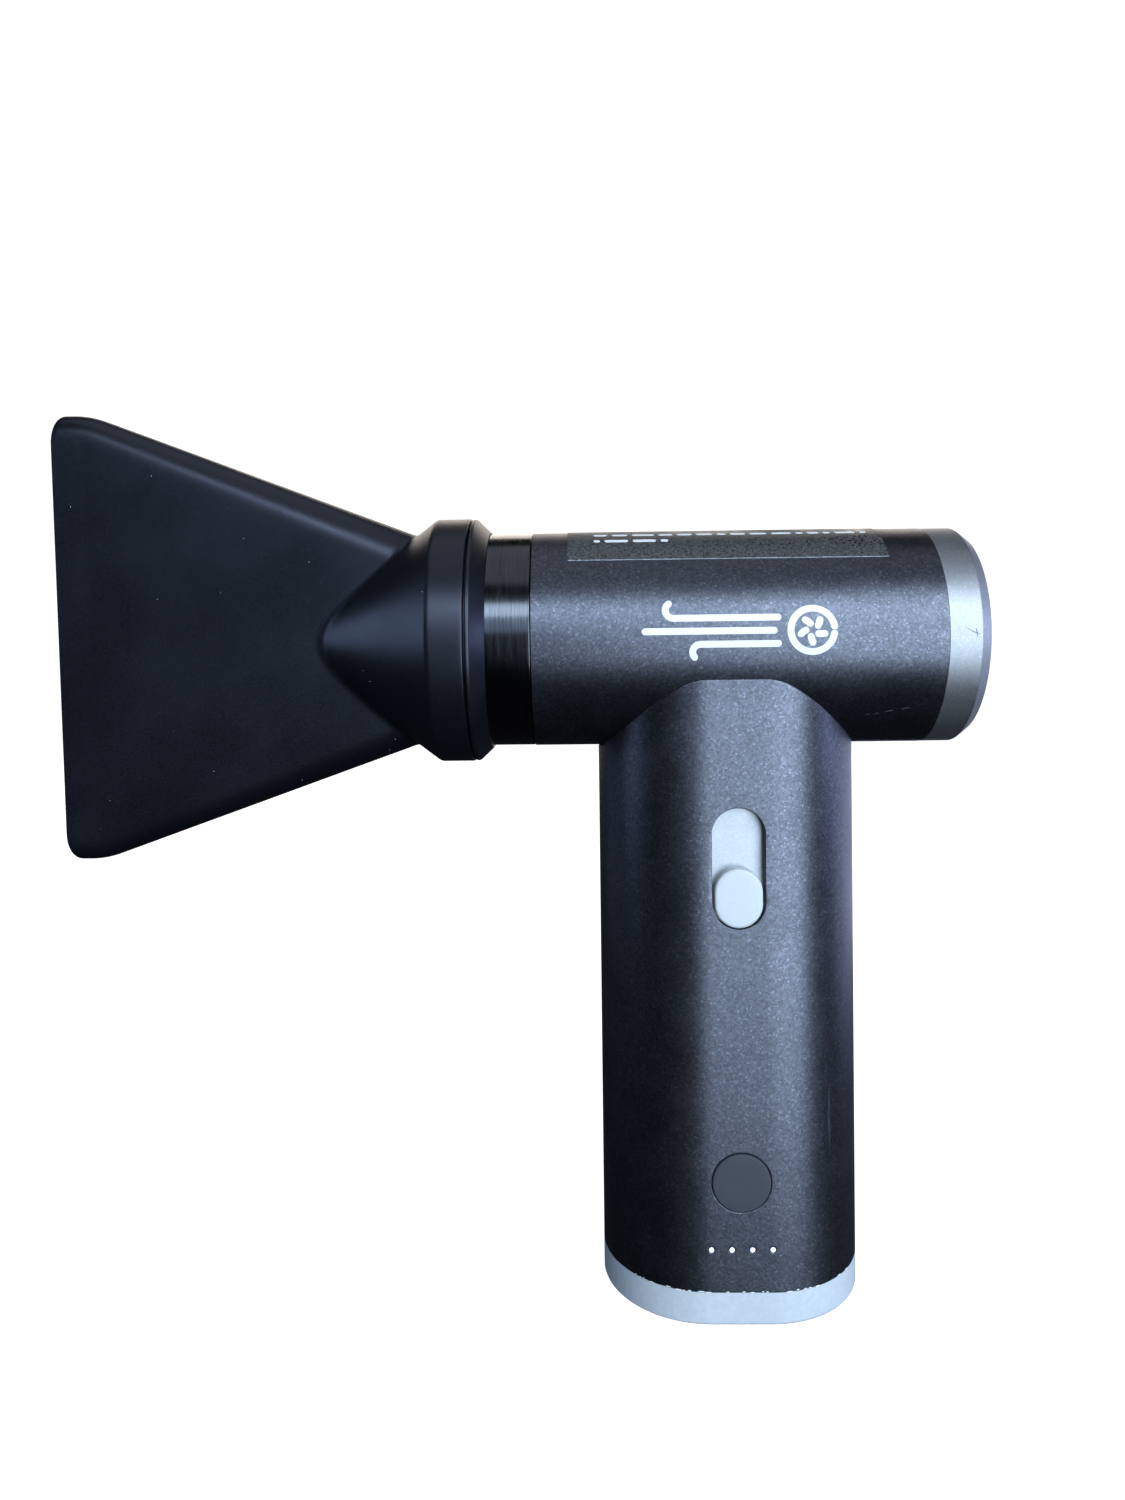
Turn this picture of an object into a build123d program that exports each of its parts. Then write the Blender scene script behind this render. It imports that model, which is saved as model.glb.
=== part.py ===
"""Cordless car dryer blower: a T-shaped jet fan with a flat fan nozzle, as separate pieces.

Frame: +Z up, the barrel along X with the nozzle towards -X and the air intake towards +X, the
switches on the -Y side. The origin is the centre of the handle's base. Millimetres.
"""

import os
from math import cos, radians, sin

from build123d import *

os.makedirs("parts", exist_ok=True)

# Barrel
AXIS_Z = 138.4  # height of the barrel's axis above the base
BARREL_R = 23.0
BARREL_WALL = 1.5
BARREL_FRONT = -40.8  # seam with the front ring
BARREL_REAR = 41.5  # seam with the rear ring
BORE_R = BARREL_R - BARREL_WALL
SPIGOT_R = 22.9  # outside of the front ring, which the nozzle slides on
SPIGOT_TIP = -61.0
REAR_RING_R = 22.95
REAR_END = 50.4

# Handle
GRIP_HALF_W = 27.25
GRIP_HALF_D = 21.3
GRIP_WALL = 1.8
CAP_H = 6.7
GRIP_INNER_D = GRIP_HALF_D - GRIP_WALL

# Nozzle
NECK_X = -58.0  # pivot of the flat part on the barrel's axis
NOZZLE_TURN = 3.8  # degrees that the nozzle rests turned about the barrel
NOZZLE_LEAN = 0.7  # degrees that its flat part rises towards the mouth
COLLAR_R = 26.3
COLLAR_REAR = -54.0
COLLAR_FRONT = -62.0
CONE_BASE_R = 25.7
CONE_SLOPE = 0.75  # radius lost for each millimetre forwards
NOZZLE_WALL = 1.8
SLAB_ROOT = (2.0, 20.4, 8.3, 7.8)  # distance from the neck, half height, half depth, corner
SLAB_LIP = (78.1, 48.4, 6.5, 5.0)
SLAB_MOUTH = (84.9, 48.4, 6.4, 5.0)
MOUTH_CORNER = 3.5

# Fan and motor
DUCT_OUT_R = 19.6
DUCT_IN_R = 18.6
SLEEVE_OUT_R = 9.9
SLEEVE_IN_R = 8.7
TIP_R = 18.3
CAN_R = 8.6
CAN_IN_R = 7.9
SHAFT_R = 1.5
BEARING_BORE_R = 1.53
BEARING_R = 4.0
VANES = 9
BLADES = 11

# Slide switch, power button and charge lights on the front
SLOT_Z = 91.9
SLOT_LENGTH = 24.2
SLOT_WIDTH = 10.6
KNOB_LENGTH = 12.0
KNOB_WIDTH = 9.7
SLIDE_TRAVEL = 11.8
KNOB_Z = SLOT_Z - (SLOT_LENGTH - KNOB_LENGTH) / 2 + 0.15
PLATE_FRONT = -18.6
BUTTON_Z = 28.9
BUTTON_R = 5.9
LED_Z = 15.4
LED_PITCH = 4.1

# Battery and boards
CELL_R = 10.6
CELL_X = 10.8
CELL_Y = 7.0
CELL_BOTTOM = 17.5
CELL_TOP = 87.5
BOARD_FRONT = -12.6
BOARD_BACK = -11.0
PORT_Z = 10.8
SCREW_X = 18.0

BARREL_AXIS = Axis((0, 0, AXIS_Z), (1, 0, 0))
BARREL_SIDE = Plane(origin=(0, 0, AXIS_Z), x_dir=(1, 0, 0), z_dir=(0, -1, 0))
TURN = radians(NOZZLE_TURN)
LEAN = radians(NOZZLE_LEAN)
NOZZLE_NECK = Plane(
    origin=(NECK_X, 0, AXIS_Z),
    x_dir=(sin(TURN) * sin(LEAN), cos(TURN), sin(TURN) * cos(LEAN)),
    z_dir=(-cos(LEAN), 0, sin(LEAN)),
)


def across(x):
    """The plane square to the barrel at x, facing the intake."""
    return Plane(origin=(x, 0, AXIS_Z), x_dir=(0, 1, 0), z_dir=(1, 0, 0))


def front(y):
    """The upright plane at y, facing the user."""
    return Plane(origin=(0, y, 0), x_dir=(1, 0, 0), z_dir=(0, -1, 0))


def outward(angle, radius):
    """The plane that faces away from the barrel's axis at an angle and a radius."""
    away = (0, cos(radians(angle)), sin(radians(angle)))
    origin = (0, radius * away[1], AXIS_Z + radius * away[2])
    return Plane(origin=origin, x_dir=(1, 0, 0), z_dir=away)


def profile(*points, side=BARREL_SIDE):
    """The face inside a closed outline of (x, radius) points beside the barrel's axis."""
    with BuildSketch(side) as outline:
        with BuildLine():
            Polyline(*points, close=True)
        make_face()
    return outline.sketch


def block(x, y, z, mode=Mode.ADD):
    """A box between the low and high values of x, y and z."""
    with Locations(((x[0] + x[1]) / 2, (y[0] + y[1]) / 2, (z[0] + z[1]) / 2)):
        Box(x[1] - x[0], y[1] - y[0], z[1] - z[0], mode=mode)


def post(x, y, z, radius, mode=Mode.ADD):
    """An upright cylinder between the low and high values of z."""
    with Locations((x, y, (z[0] + z[1]) / 2)):
        Cylinder(radius, z[1] - z[0], mode=mode)


def peg(x, y, z, radius, mode=Mode.ADD):
    """A cylinder along Y between the low and high values of y."""
    with Locations((x, (y[0] + y[1]) / 2, z)):
        Cylinder(radius, y[1] - y[0], rotation=(90, 0, 0), mode=mode)


def stadium(z, inset):
    """The handle's obround section at height z, drawn in from the outside by inset."""
    with BuildSketch(Plane.XY.offset(z)) as section:
        SlotOverall(2 * (GRIP_HALF_W - inset), 2 * (GRIP_HALF_D - inset))
    return section.sketch


def leaf(plane, x_start, x_end, sweep, thickness):
    """A curved plate's section: it leaves x_start along the barrel and bends over by sweep."""
    middle = (x_start + x_end) / 2
    with BuildSketch(plane) as section:
        with BuildLine():
            upper = ThreePointArc((x_start, thickness / 2), (middle, 0.3 * sweep + thickness / 2),
                                  (x_end, sweep + thickness / 2))
            lower = ThreePointArc((x_start, -thickness / 2), (middle, 0.3 * sweep - thickness / 2),
                                  (x_end, sweep - thickness / 2))
            Line(upper @ 0, lower @ 0)
            Line(upper @ 1, lower @ 1)
        make_face()
    return section.sketch


# ---------------------------------------------------------------- barrel

# Aluminium tube, pierced below for the motor leads and the two saddle screws.
LEAD_X = -0.5
LEAD_PITCH = 2.5
LEAD_R = 0.75
SADDLE_SCREW_X = 12.0
SPOT_FACE_Z = AXIS_Z - BORE_R + 0.2
with BuildPart() as barrel_tube:
    revolve(
        profile((BARREL_FRONT, BORE_R), (BARREL_FRONT, BARREL_R), (BARREL_REAR, BARREL_R),
                (BARREL_REAR, BORE_R)),
        axis=BARREL_AXIS,
    )
    post(LEAD_X, 0, (AXIS_Z - 25, AXIS_Z - 19), 5.0, Mode.SUBTRACT)
    for screw_x in (-SADDLE_SCREW_X, SADDLE_SCREW_X):
        post(screw_x, 0, (AXIS_Z - 25, AXIS_Z - 19), 1.6, Mode.SUBTRACT)
        post(screw_x, 0, (SPOT_FACE_Z, AXIS_Z - 19), 3.0, Mode.SUBTRACT)

# Gloss ring that carries the nozzle: outside turned smooth, bore narrowing to the outlet.
RING_GROOVE = (-57.0, -55.0)
GROOVE_R = 21.1
with BuildPart() as front_ring:
    revolve(
        profile((SPIGOT_TIP, 19.0), (SPIGOT_TIP, 22.2), (SPIGOT_TIP + 0.7, SPIGOT_R),
                (RING_GROOVE[0], SPIGOT_R), (RING_GROOVE[0], GROOVE_R), (RING_GROOVE[1], GROOVE_R),
                (RING_GROOVE[1], SPIGOT_R), (BARREL_FRONT - 0.4, SPIGOT_R),
                (BARREL_FRONT, SPIGOT_R - 0.4), (BARREL_FRONT, BORE_R - 0.1), (-34.0, BORE_R - 0.1),
                (-34.0, 20.3)),
        axis=BARREL_AXIS,
    )

# Nitrile ring in the groove, which seals and grips the nozzle.
with BuildPart() as spigot_o_ring:
    with BuildSketch(BARREL_SIDE):
        with Locations(((RING_GROOVE[0] + RING_GROOVE[1]) / 2, GROOVE_R + 0.93)):
            Circle(0.9)
    revolve(axis=BARREL_AXIS)

# Silver ring that closes the intake end and traps the grille.
GRILLE_R = 20.3
GRILLE_X = (45.4, 47.5)
with BuildPart() as rear_ring:
    revolve(
        profile((BARREL_REAR, BORE_R - 0.1), (BARREL_REAR, REAR_RING_R), (48.0, REAR_RING_R),
                (REAR_END, 21.1), (REAR_END, 19.8), (REAR_END - 0.8, 19.0), (GRILLE_X[1] + 0.05, 19.0),
                (GRILLE_X[1] + 0.05, GRILLE_R + 0.1), (35.0, GRILLE_R + 0.1), (35.0, BORE_R - 0.1)),
        axis=BARREL_AXIS,
    )

# Moulded guard: concentric rings on eight spokes around a boss with a dished face. It sits flush
# with the bottom of the lip, so that a filter frame can press into the lip over it.
GRILLE_RINGS = (16.2, 12.6, 9.0)
with BuildPart() as intake_grille:
    with BuildSketch(across(GRILLE_X[0])):
        Circle(GRILLE_R)
        Circle(18.4, mode=Mode.SUBTRACT)
        for ring_r in GRILLE_RINGS:
            Circle(ring_r + 0.55)
            Circle(ring_r - 0.55, mode=Mode.SUBTRACT)
        with PolarLocations(0, 4, angular_range=180):
            Rectangle(1.3, 37.6)
        Circle(5.2)
    extrude(amount=GRILLE_X[1] - GRILLE_X[0])
    revolve(
        profile((GRILLE_X[1] + 0.1, 0), (GRILLE_X[1] + 0.1, 4.4), (GRILLE_X[1] - 0.4, 3.6),
                (GRILLE_X[1] - 0.7, 0)),
        axis=BARREL_AXIS,
        mode=Mode.SUBTRACT,
    )

# Thin film on top of the barrel, wrapped around it.
LABEL_X = (-33.4, 31.5)
LABEL_ARC = 76.0
LABEL_START = -29.0  # degrees from the top, on the far side
with BuildPart() as label_film:
    revolve(
        profile((LABEL_X[0], BARREL_R + 0.02), (LABEL_X[0], BARREL_R + 0.14),
                (LABEL_X[1], BARREL_R + 0.14), (LABEL_X[1], BARREL_R + 0.02),
                side=BARREL_SIDE.rotated((LABEL_START, 0, 0))),
        axis=BARREL_AXIS,
        revolution_arc=LABEL_ARC,
    )

# ---------------------------------------------------------------- fan and motor

# Moulded duct: outer wall, motor sleeve and the guide vanes that join them.
DUCT_FRONT = -9.0
DUCT_REAR = 43.0
SLEEVE_X = (-7.0, 22.0)
VANE_X = (-5.0, 19.0)
with BuildPart() as fan_duct:
    for number in range(VANES):
        angle = 90 + (number + 0.5) * 360 / VANES + 180 / VANES
        extrude(leaf(outward(angle, SLEEVE_IN_R + 0.5), VANE_X[1], VANE_X[0], 3.0, 1.1),
                amount=DUCT_IN_R - SLEEVE_IN_R)
    revolve(
        profile((DUCT_FRONT, DUCT_IN_R), (DUCT_FRONT, DUCT_OUT_R), (DUCT_REAR, DUCT_OUT_R),
                (DUCT_REAR, DUCT_OUT_R - 0.3), (DUCT_REAR - 2.5, DUCT_IN_R)),
        axis=BARREL_AXIS,
    )
    revolve(
        profile((SLEEVE_X[0], SLEEVE_IN_R), (SLEEVE_X[0], SLEEVE_OUT_R), (SLEEVE_X[1], SLEEVE_OUT_R),
                (SLEEVE_X[1], SLEEVE_IN_R)),
        axis=BARREL_AXIS,
    )
    block((LEAD_X - 1.2, LEAD_X + 1.2), (-4.0, 4.0), (AXIS_Z - 21, AXIS_Z - 5), Mode.SUBTRACT)

# Rubber rings that hold the duct in the tube and keep its hum out of the handle.
ISOLATORS = {"front_isolator": (-8.5, -5.0), "rear_isolator": (28.0, 32.0)}
isolator_parts = {}
for name, (low, high) in ISOLATORS.items():
    with BuildPart() as isolator:
        revolve(
            profile((low, DUCT_OUT_R + 0.02), (low, BORE_R - 0.4), (low + 0.8, BORE_R - 0.03),
                    (high - 0.8, BORE_R - 0.03), (high, BORE_R - 0.4), (high, DUCT_OUT_R + 0.02)),
            axis=BARREL_AXIS,
        )
    isolator_parts[name] = isolator

# Streamlined cover over the motor's outlet end.
with BuildPart() as tail_cone:
    with BuildSketch(BARREL_SIDE):
        with BuildLine():
            outer = ThreePointArc((-7.3, SLEEVE_OUT_R), (-17.0, 7.4), (-26.0, 1.6))
            tip = Polyline(outer @ 1, (-26.6, 0), (-25.0, 0))
            inner = ThreePointArc(tip @ 1, (-16.6, 6.0), (-7.3, SLEEVE_OUT_R - 1.3))
            Line(inner @ 1, outer @ 0)
        make_face()
    revolve(axis=BARREL_AXIS)

# Deep-drawn can with the intake bearing's seat in its end wall.
CAN_X = (-6.0, 21.5)
INTAKE_BEARING_X = (17.6, 20.6)
OUTLET_BEARING_X = (-6.5, -3.5)
with BuildPart() as motor_can:
    revolve(
        profile((CAN_X[0], CAN_IN_R), (CAN_X[0], CAN_R), (CAN_X[1], CAN_R), (CAN_X[1], 2.2),
                (INTAKE_BEARING_X[1], 2.2), (INTAKE_BEARING_X[1], BEARING_R + 0.02),
                (INTAKE_BEARING_X[0], BEARING_R + 0.02), (INTAKE_BEARING_X[0], 4.75),
                (20.3, 4.75), (20.3, CAN_IN_R)),
        axis=BARREL_AXIS,
    )
    block((LEAD_X - 1.2, LEAD_X + 1.2), (-4.0, 4.0), (AXIS_Z - 10, AXIS_Z - 5), Mode.SUBTRACT)

with BuildPart() as motor_end_cap:
    revolve(
        profile((-7.2, 2.2), (-7.2, CAN_R), (CAN_X[0], CAN_R), (CAN_X[0], 5.0),
                (OUTLET_BEARING_X[1], 5.0), (OUTLET_BEARING_X[1], BEARING_R + 0.02),
                (OUTLET_BEARING_X[0], BEARING_R + 0.02), (OUTLET_BEARING_X[0], 2.2)),
        axis=BARREL_AXIS,
    )

bearing_parts = {}
for name, (low, high) in {"intake_bearing": INTAKE_BEARING_X, "outlet_bearing": OUTLET_BEARING_X}.items():
    with BuildPart() as bearing:
        revolve(
            profile((low, BEARING_BORE_R), (low, 2.2), (low + 0.25, 2.3), (low + 0.25, 3.3), (low, 3.4),
                    (low, BEARING_R), (high, BEARING_R), (high, 3.4), (high - 0.25, 3.3),
                    (high - 0.25, 2.3), (high, 2.2), (high, BEARING_BORE_R)),
            axis=BARREL_AXIS,
        )
    bearing_parts[name] = bearing

# Laminated core with six teeth, and a coil wound on each tooth.
CORE_X = (2.0, 16.0)
TEETH = 6
with BuildPart() as stator_core:
    with BuildSketch(across(CORE_X[0])):
        Circle(CAN_IN_R - 0.03)
        Circle(6.5, mode=Mode.SUBTRACT)
        for tooth in range(TEETH):
            with PolarLocations(5.6, 1, start_angle=tooth * 60):
                Rectangle(2.2, 1.5)
            with PolarLocations(4.65, 1, start_angle=tooth * 60):
                Rectangle(0.7, 3.6)
    extrude(amount=CORE_X[1] - CORE_X[0])

with BuildPart() as motor_windings:
    for tooth in range(TEETH):
        with BuildSketch(outward(tooth * 60, 5.1)):
            with Locations(((CORE_X[0] + CORE_X[1]) / 2, 0)):
                RectangleRounded(17.4, 3.7, 1.0)
                Rectangle(14.2, 1.6, mode=Mode.SUBTRACT)
        extrude(amount=1.0)

with BuildPart() as motor_shaft:
    revolve(
        profile((-6.8, 0), (-6.8, SHAFT_R - 0.2), (-6.6, SHAFT_R), (39.3, SHAFT_R),
                (39.5, SHAFT_R - 0.2), (39.5, 0)),
        axis=BARREL_AXIS,
    )

with BuildPart() as rotor_magnet:
    revolve(profile((2.5, SHAFT_R), (2.5, 3.8), (15.5, 3.8), (15.5, SHAFT_R)), axis=BARREL_AXIS)

# Bladed wheel on the shaft: a tapered hub with twisted blades trimmed to the duct.
HUB_X = (22.8, 36.0)
with BuildPart() as impeller:
    for number in range(BLADES):
        angle = number * 360 / BLADES
        root = leaf(outward(angle, 8.0), 24.0, 34.0, 4.2, 1.1)
        tip = leaf(outward(angle, DUCT_IN_R + 1), 24.5, 34.6, 9.5, 0.7)
        loft([root, tip])
    with BuildSketch(across(HUB_X[0])):
        Circle(TIP_R)
    extrude(amount=HUB_X[1] - HUB_X[0], mode=Mode.INTERSECT)
    revolve(
        profile((HUB_X[0], 0), (HUB_X[0], 9.6), (30.0, 9.4), (HUB_X[1], 6.2), (HUB_X[1], 0)),
        axis=BARREL_AXIS,
    )
    with BuildSketch(across(HUB_X[0])):
        Circle(SHAFT_R)
    extrude(amount=HUB_X[1] - HUB_X[0], mode=Mode.SUBTRACT)

with BuildPart() as impeller_nut:
    with BuildSketch(across(HUB_X[1])):
        RegularPolygon(4.6, 6)
        Circle(SHAFT_R, mode=Mode.SUBTRACT)
    extrude(amount=2.4)

# Three phase wires straight down from the windings to the driver board.
LEAD_BOTTOM = 103.0
with BuildPart() as motor_leads:
    for number in (-1, 0, 1):
        post(LEAD_X, number * LEAD_PITCH, (LEAD_BOTTOM, AXIS_Z - 6.6), LEAD_R)

# ---------------------------------------------------------------- nozzle

# Ring that pushes over the spigot; the nozzle snaps over its bead and turns on it.
SLEEVE_R = 24.55
SLEEVE_BORE_R = 23.0
SLEEVE_TIP = -61.8
FLANGE_X = (-53.65, -50.0)
BEAD_X = -59.0
with BuildPart() as adapter_ring:
    revolve(
        profile((SLEEVE_TIP, 22.2), (SLEEVE_TIP, SLEEVE_R), (BEAD_X - 0.8, SLEEVE_R), (BEAD_X, SLEEVE_R + 0.5),
                (BEAD_X + 0.8, SLEEVE_R), (FLANGE_X[0], SLEEVE_R), (FLANGE_X[0], 26.0),
                (FLANGE_X[0] + 0.2, 26.2), (-52.9, 26.2), (FLANGE_X[1], 23.4), (FLANGE_X[1], 23.3),
                (FLANGE_X[1] - 0.4, SLEEVE_BORE_R), (-61.2, SLEEVE_BORE_R), (-61.2, 22.2)),
        axis=BARREL_AXIS,
    )


def slab_section(station, inset=0.0, extra=0.0):
    """A rounded rectangle across the flat part of the nozzle, drawn in by inset."""
    distance, half_height, half_depth, corner = station
    with BuildSketch(NOZZLE_NECK.offset(distance + extra)) as section:
        RectangleRounded(2 * (half_depth - inset), 2 * (half_height - inset), corner - inset)
    return section.sketch


# Blow-moulded fan nozzle: round collar, cone, and a flat slab that opens at the mouth.
CONE_TIP_X = COLLAR_FRONT - (CONE_BASE_R - 4.0) / CONE_SLOPE
CONE_THICKNESS = 2.3  # wall measured square to the axis
NOZZLE_SIDE = Plane(NOZZLE_NECK.origin, x_dir=NOZZLE_NECK.z_dir, z_dir=NOZZLE_NECK.x_dir)
MOUTH_AT = SLAB_MOUTH[0]
with BuildPart() as nozzle_body:
    loft([slab_section(SLAB_ROOT), slab_section(SLAB_LIP)], ruled=True)
    loft([slab_section(SLAB_LIP), slab_section(SLAB_MOUTH)], ruled=True)
    with BuildSketch(NOZZLE_SIDE):
        with BuildLine():
            Polyline((0, 40), (MOUTH_AT - 30, 70), (MOUTH_AT, 70), (MOUTH_AT, -70), (MOUTH_AT - 30, -70),
                     (0, -40), close=True)
        make_face()
        with Locations((MOUTH_AT - 40, 0)):
            RectangleRounded(80, 2 * SLAB_MOUTH[1], MOUTH_CORNER, mode=Mode.INTERSECT)
    extrude(amount=20, both=True, mode=Mode.INTERSECT)
    revolve(
        profile((COLLAR_REAR, 15.0), (COLLAR_REAR, COLLAR_R), (-61.0, COLLAR_R), (-61.6, COLLAR_R - 0.2),
                (COLLAR_FRONT, CONE_BASE_R), (CONE_TIP_X, 4.0), (CONE_TIP_X, 0), (-70.0, 0), (-64.0, 15.0)),
        axis=BARREL_AXIS,
    )
    revolve(
        profile((COLLAR_REAR, 0), (COLLAR_REAR, SLEEVE_R + 0.05), (BEAD_X + 0.9, SLEEVE_R + 0.05),
                (BEAD_X, SLEEVE_R + 0.6), (BEAD_X - 0.9, SLEEVE_R + 0.05), (COLLAR_FRONT, SLEEVE_R + 0.05),
                (COLLAR_FRONT, CONE_BASE_R - CONE_THICKNESS),
                (CONE_TIP_X, 4.0 - CONE_THICKNESS), (CONE_TIP_X, 0)),
        axis=BARREL_AXIS,
        mode=Mode.SUBTRACT,
    )
    loft([slab_section(SLAB_ROOT, NOZZLE_WALL), slab_section(SLAB_LIP, NOZZLE_WALL)], ruled=True,
         mode=Mode.SUBTRACT)
    loft([slab_section(SLAB_LIP, NOZZLE_WALL), slab_section(SLAB_MOUTH, NOZZLE_WALL, 2.0)], ruled=True,
         mode=Mode.SUBTRACT)

# ---------------------------------------------------------------- handle shell and base

PORT_W = 9.2
PORT_H = 3.5
with BuildPart() as handle_shell:
    extrude(stadium(CAP_H, 0), amount=AXIS_Z - CAP_H)
    extrude(stadium(CAP_H, GRIP_WALL), amount=AXIS_Z - CAP_H, mode=Mode.SUBTRACT)
    with BuildSketch(across(-40)):
        Circle(BARREL_R)
    extrude(amount=80, mode=Mode.SUBTRACT)
    with BuildSketch(front(-GRIP_HALF_D + 3)):
        with Locations((0, SLOT_Z)):
            SlotOverall(SLOT_LENGTH, SLOT_WIDTH, rotation=90)
        with Locations((0, BUTTON_Z)):
            Circle(BUTTON_R + 0.15)
        with Locations((0, LED_Z)):
            with GridLocations(LED_PITCH, 0, 4, 1):
                Circle(0.72)
    extrude(amount=6, mode=Mode.SUBTRACT)
    with BuildSketch(front(GRIP_HALF_D + 2)):
        with Locations((0, PORT_Z)):
            SlotOverall(PORT_W, PORT_H)
    extrude(amount=4, mode=Mode.SUBTRACT)
    front_edges = handle_shell.edges().filter_by_position(Axis.Y, -GRIP_HALF_D - 0.01, -GRIP_HALF_D + 0.01)
    chamfer(front_edges.filter_by(lambda edge: abs(edge.center().Z - SLOT_Z) < SLOT_LENGTH / 2 + 1), 0.25)

# Painted base: floor, wall and a lip that fits up inside the shell.
LIP_TOP = 9.0
with BuildPart() as bottom_cap:
    extrude(stadium(0, 0), amount=CAP_H)
    fillet(bottom_cap.edges().group_by(Axis.Z)[0], 0.7)
    extrude(stadium(CAP_H, GRIP_WALL + 0.1), amount=LIP_TOP - CAP_H)
    extrude(stadium(2.0, GRIP_WALL + 1.6), amount=LIP_TOP, mode=Mode.SUBTRACT)
    for screw_x in (-SCREW_X, SCREW_X):
        post(screw_x, 0, (-1, 3), 1.4, Mode.SUBTRACT)
        with Locations((screw_x, 0, 0.5)):
            Cone(2.75, 1.4, 1.4, mode=Mode.SUBTRACT)
        post(screw_x, 0, (-1, -0.19), 2.75, Mode.SUBTRACT)

with BuildPart() as cap_screws:
    for screw_x in (-SCREW_X, SCREW_X):
        with BuildSketch(Plane(origin=(screw_x, 0, 0), x_dir=(1, 0, 0), z_dir=(0, -1, 0))) as half:
            with BuildLine():
                Polyline((0, 0.15), (2.3, 0.15), (2.3, 0.2), (1.2, 1.3), (1.2, 10.0), (0.8, 10.6), (0, 10.6),
                         close=True)
            make_face()
        revolve(half.sketch, axis=Axis((screw_x, 0, 0), (0, 0, 1)))
        block((screw_x - 1.3, screw_x + 1.3), (-0.25, 0.25), (0, 0.75), Mode.SUBTRACT)
        block((screw_x - 0.25, screw_x + 0.25), (-1.3, 1.3), (0, 0.75), Mode.SUBTRACT)

# ---------------------------------------------------------------- saddle between barrel and handle

SADDLE_UNDER = 110.0
EAR_X = 20.0
EAR_TOP = 104.0
with BuildPart() as saddle_bracket:
    extrude(stadium(SADDLE_UNDER, GRIP_WALL + 0.1), amount=AXIS_Z - SADDLE_UNDER)
    with BuildSketch(across(-40)):
        Circle(BARREL_R)
    extrude(amount=80, mode=Mode.SUBTRACT)
    post(LEAD_X, 0, (SADDLE_UNDER - 1, AXIS_Z), 5.0, Mode.SUBTRACT)
    block((-7.6, 7.6), (-19.6, -15.2), (SADDLE_UNDER - 1, 117.6), Mode.SUBTRACT)
    for ear_x in (-EAR_X, EAR_X):
        post(ear_x, 0, (EAR_TOP, SADDLE_UNDER + 0.5), 3.4)
        post(ear_x, 0, (EAR_TOP - 1, 113), 1.0, Mode.SUBTRACT)
    for screw_x in (-SADDLE_SCREW_X, SADDLE_SCREW_X):
        post(screw_x, 0, (SADDLE_UNDER - 1, AXIS_Z), 1.45, Mode.SUBTRACT)

with BuildPart() as saddle_screws:
    for screw_x in (-SADDLE_SCREW_X, SADDLE_SCREW_X):
        post(screw_x, 0, (SPOT_FACE_Z, SPOT_FACE_Z + 1.35), 2.7)
        post(screw_x, 0, (SADDLE_UNDER + 0.5, SPOT_FACE_Z), 1.4)
        block((screw_x - 1.4, screw_x + 1.4), (-0.3, 0.3), (SPOT_FACE_Z + 0.6, SPOT_FACE_Z + 2), Mode.SUBTRACT)

# ---------------------------------------------------------------- inner frame, battery and boards

FRAME_PLATE_Y = (-5.6, -4.2)
SHELF_LOW = (15.6, 17.2)
SHELF_HIGH = (88.0, 89.6)
DRIVER_X = (0.25, 1.85)
DRIVER_Z = (91.0, 109.0)
BOARD_POSTS = [(-11, 43), (11, 43), (-13, 66), (13, 66)]
with BuildPart() as inner_frame:
    for low, high in (SHELF_LOW, SHELF_HIGH):
        extrude(stadium(low, GRIP_WALL + 0.3), amount=high - low)
    block((-30, 30), (-30, FRAME_PLATE_Y[0]), (10, 95), Mode.SUBTRACT)
    block((-24, 24), FRAME_PLATE_Y, (SHELF_LOW[0], EAR_TOP))
    for side in (-1, 1):
        block((side * EAR_X - 4, side * EAR_X + 4), (FRAME_PLATE_Y[0], 4), (EAR_TOP - 3, EAR_TOP))
        post(side * EAR_X, 0, (EAR_TOP - 4, EAR_TOP + 1), 1.3, Mode.SUBTRACT)
        post(side * SCREW_X, 0, (2.2, SHELF_LOW[0] + 0.5), 3.2)
        post(side * SCREW_X, 0, (2, 12), 1.22, Mode.SUBTRACT)
    for post_x, post_z in BOARD_POSTS:
        peg(post_x, (BOARD_BACK, FRAME_PLATE_Y[0] + 0.5), post_z, 2.0)
        peg(post_x, (BOARD_BACK - 1, FRAME_PLATE_Y[0] - 0.4), post_z, 0.75, Mode.SUBTRACT)
    block((DRIVER_X[0] - 0.3, DRIVER_X[1] + 0.3), (-6, -3), (DRIVER_Z[0] - 0.4, EAR_TOP + 1), Mode.SUBTRACT)
    for lead_x, lead_y in ((LEAD_X, 9.0), (DRIVER_X[1] + LEAD_R, 5.0)):
        post(lead_x, lead_y, (SHELF_HIGH[0] - 1, SHELF_HIGH[1] + 1), 1.0, Mode.SUBTRACT)

with BuildPart() as frame_screws:
    for ear_x in (-EAR_X, EAR_X):
        post(ear_x, 0, (EAR_TOP - 4.4, EAR_TOP - 3), 2.2)
        post(ear_x, 0, (EAR_TOP - 3, 111), 0.98)

cell_parts = {}
for name, cell_x in {"battery_cell_left": -CELL_X, "battery_cell_right": CELL_X}.items():
    with BuildPart() as cell:
        post(cell_x, CELL_Y, (CELL_BOTTOM, CELL_TOP), CELL_R)
        fillet(cell.edges().group_by(Axis.Z)[-1], 0.8)
        fillet(cell.edges().group_by(Axis.Z)[0], 0.5)
    cell_parts[name] = cell

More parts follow.
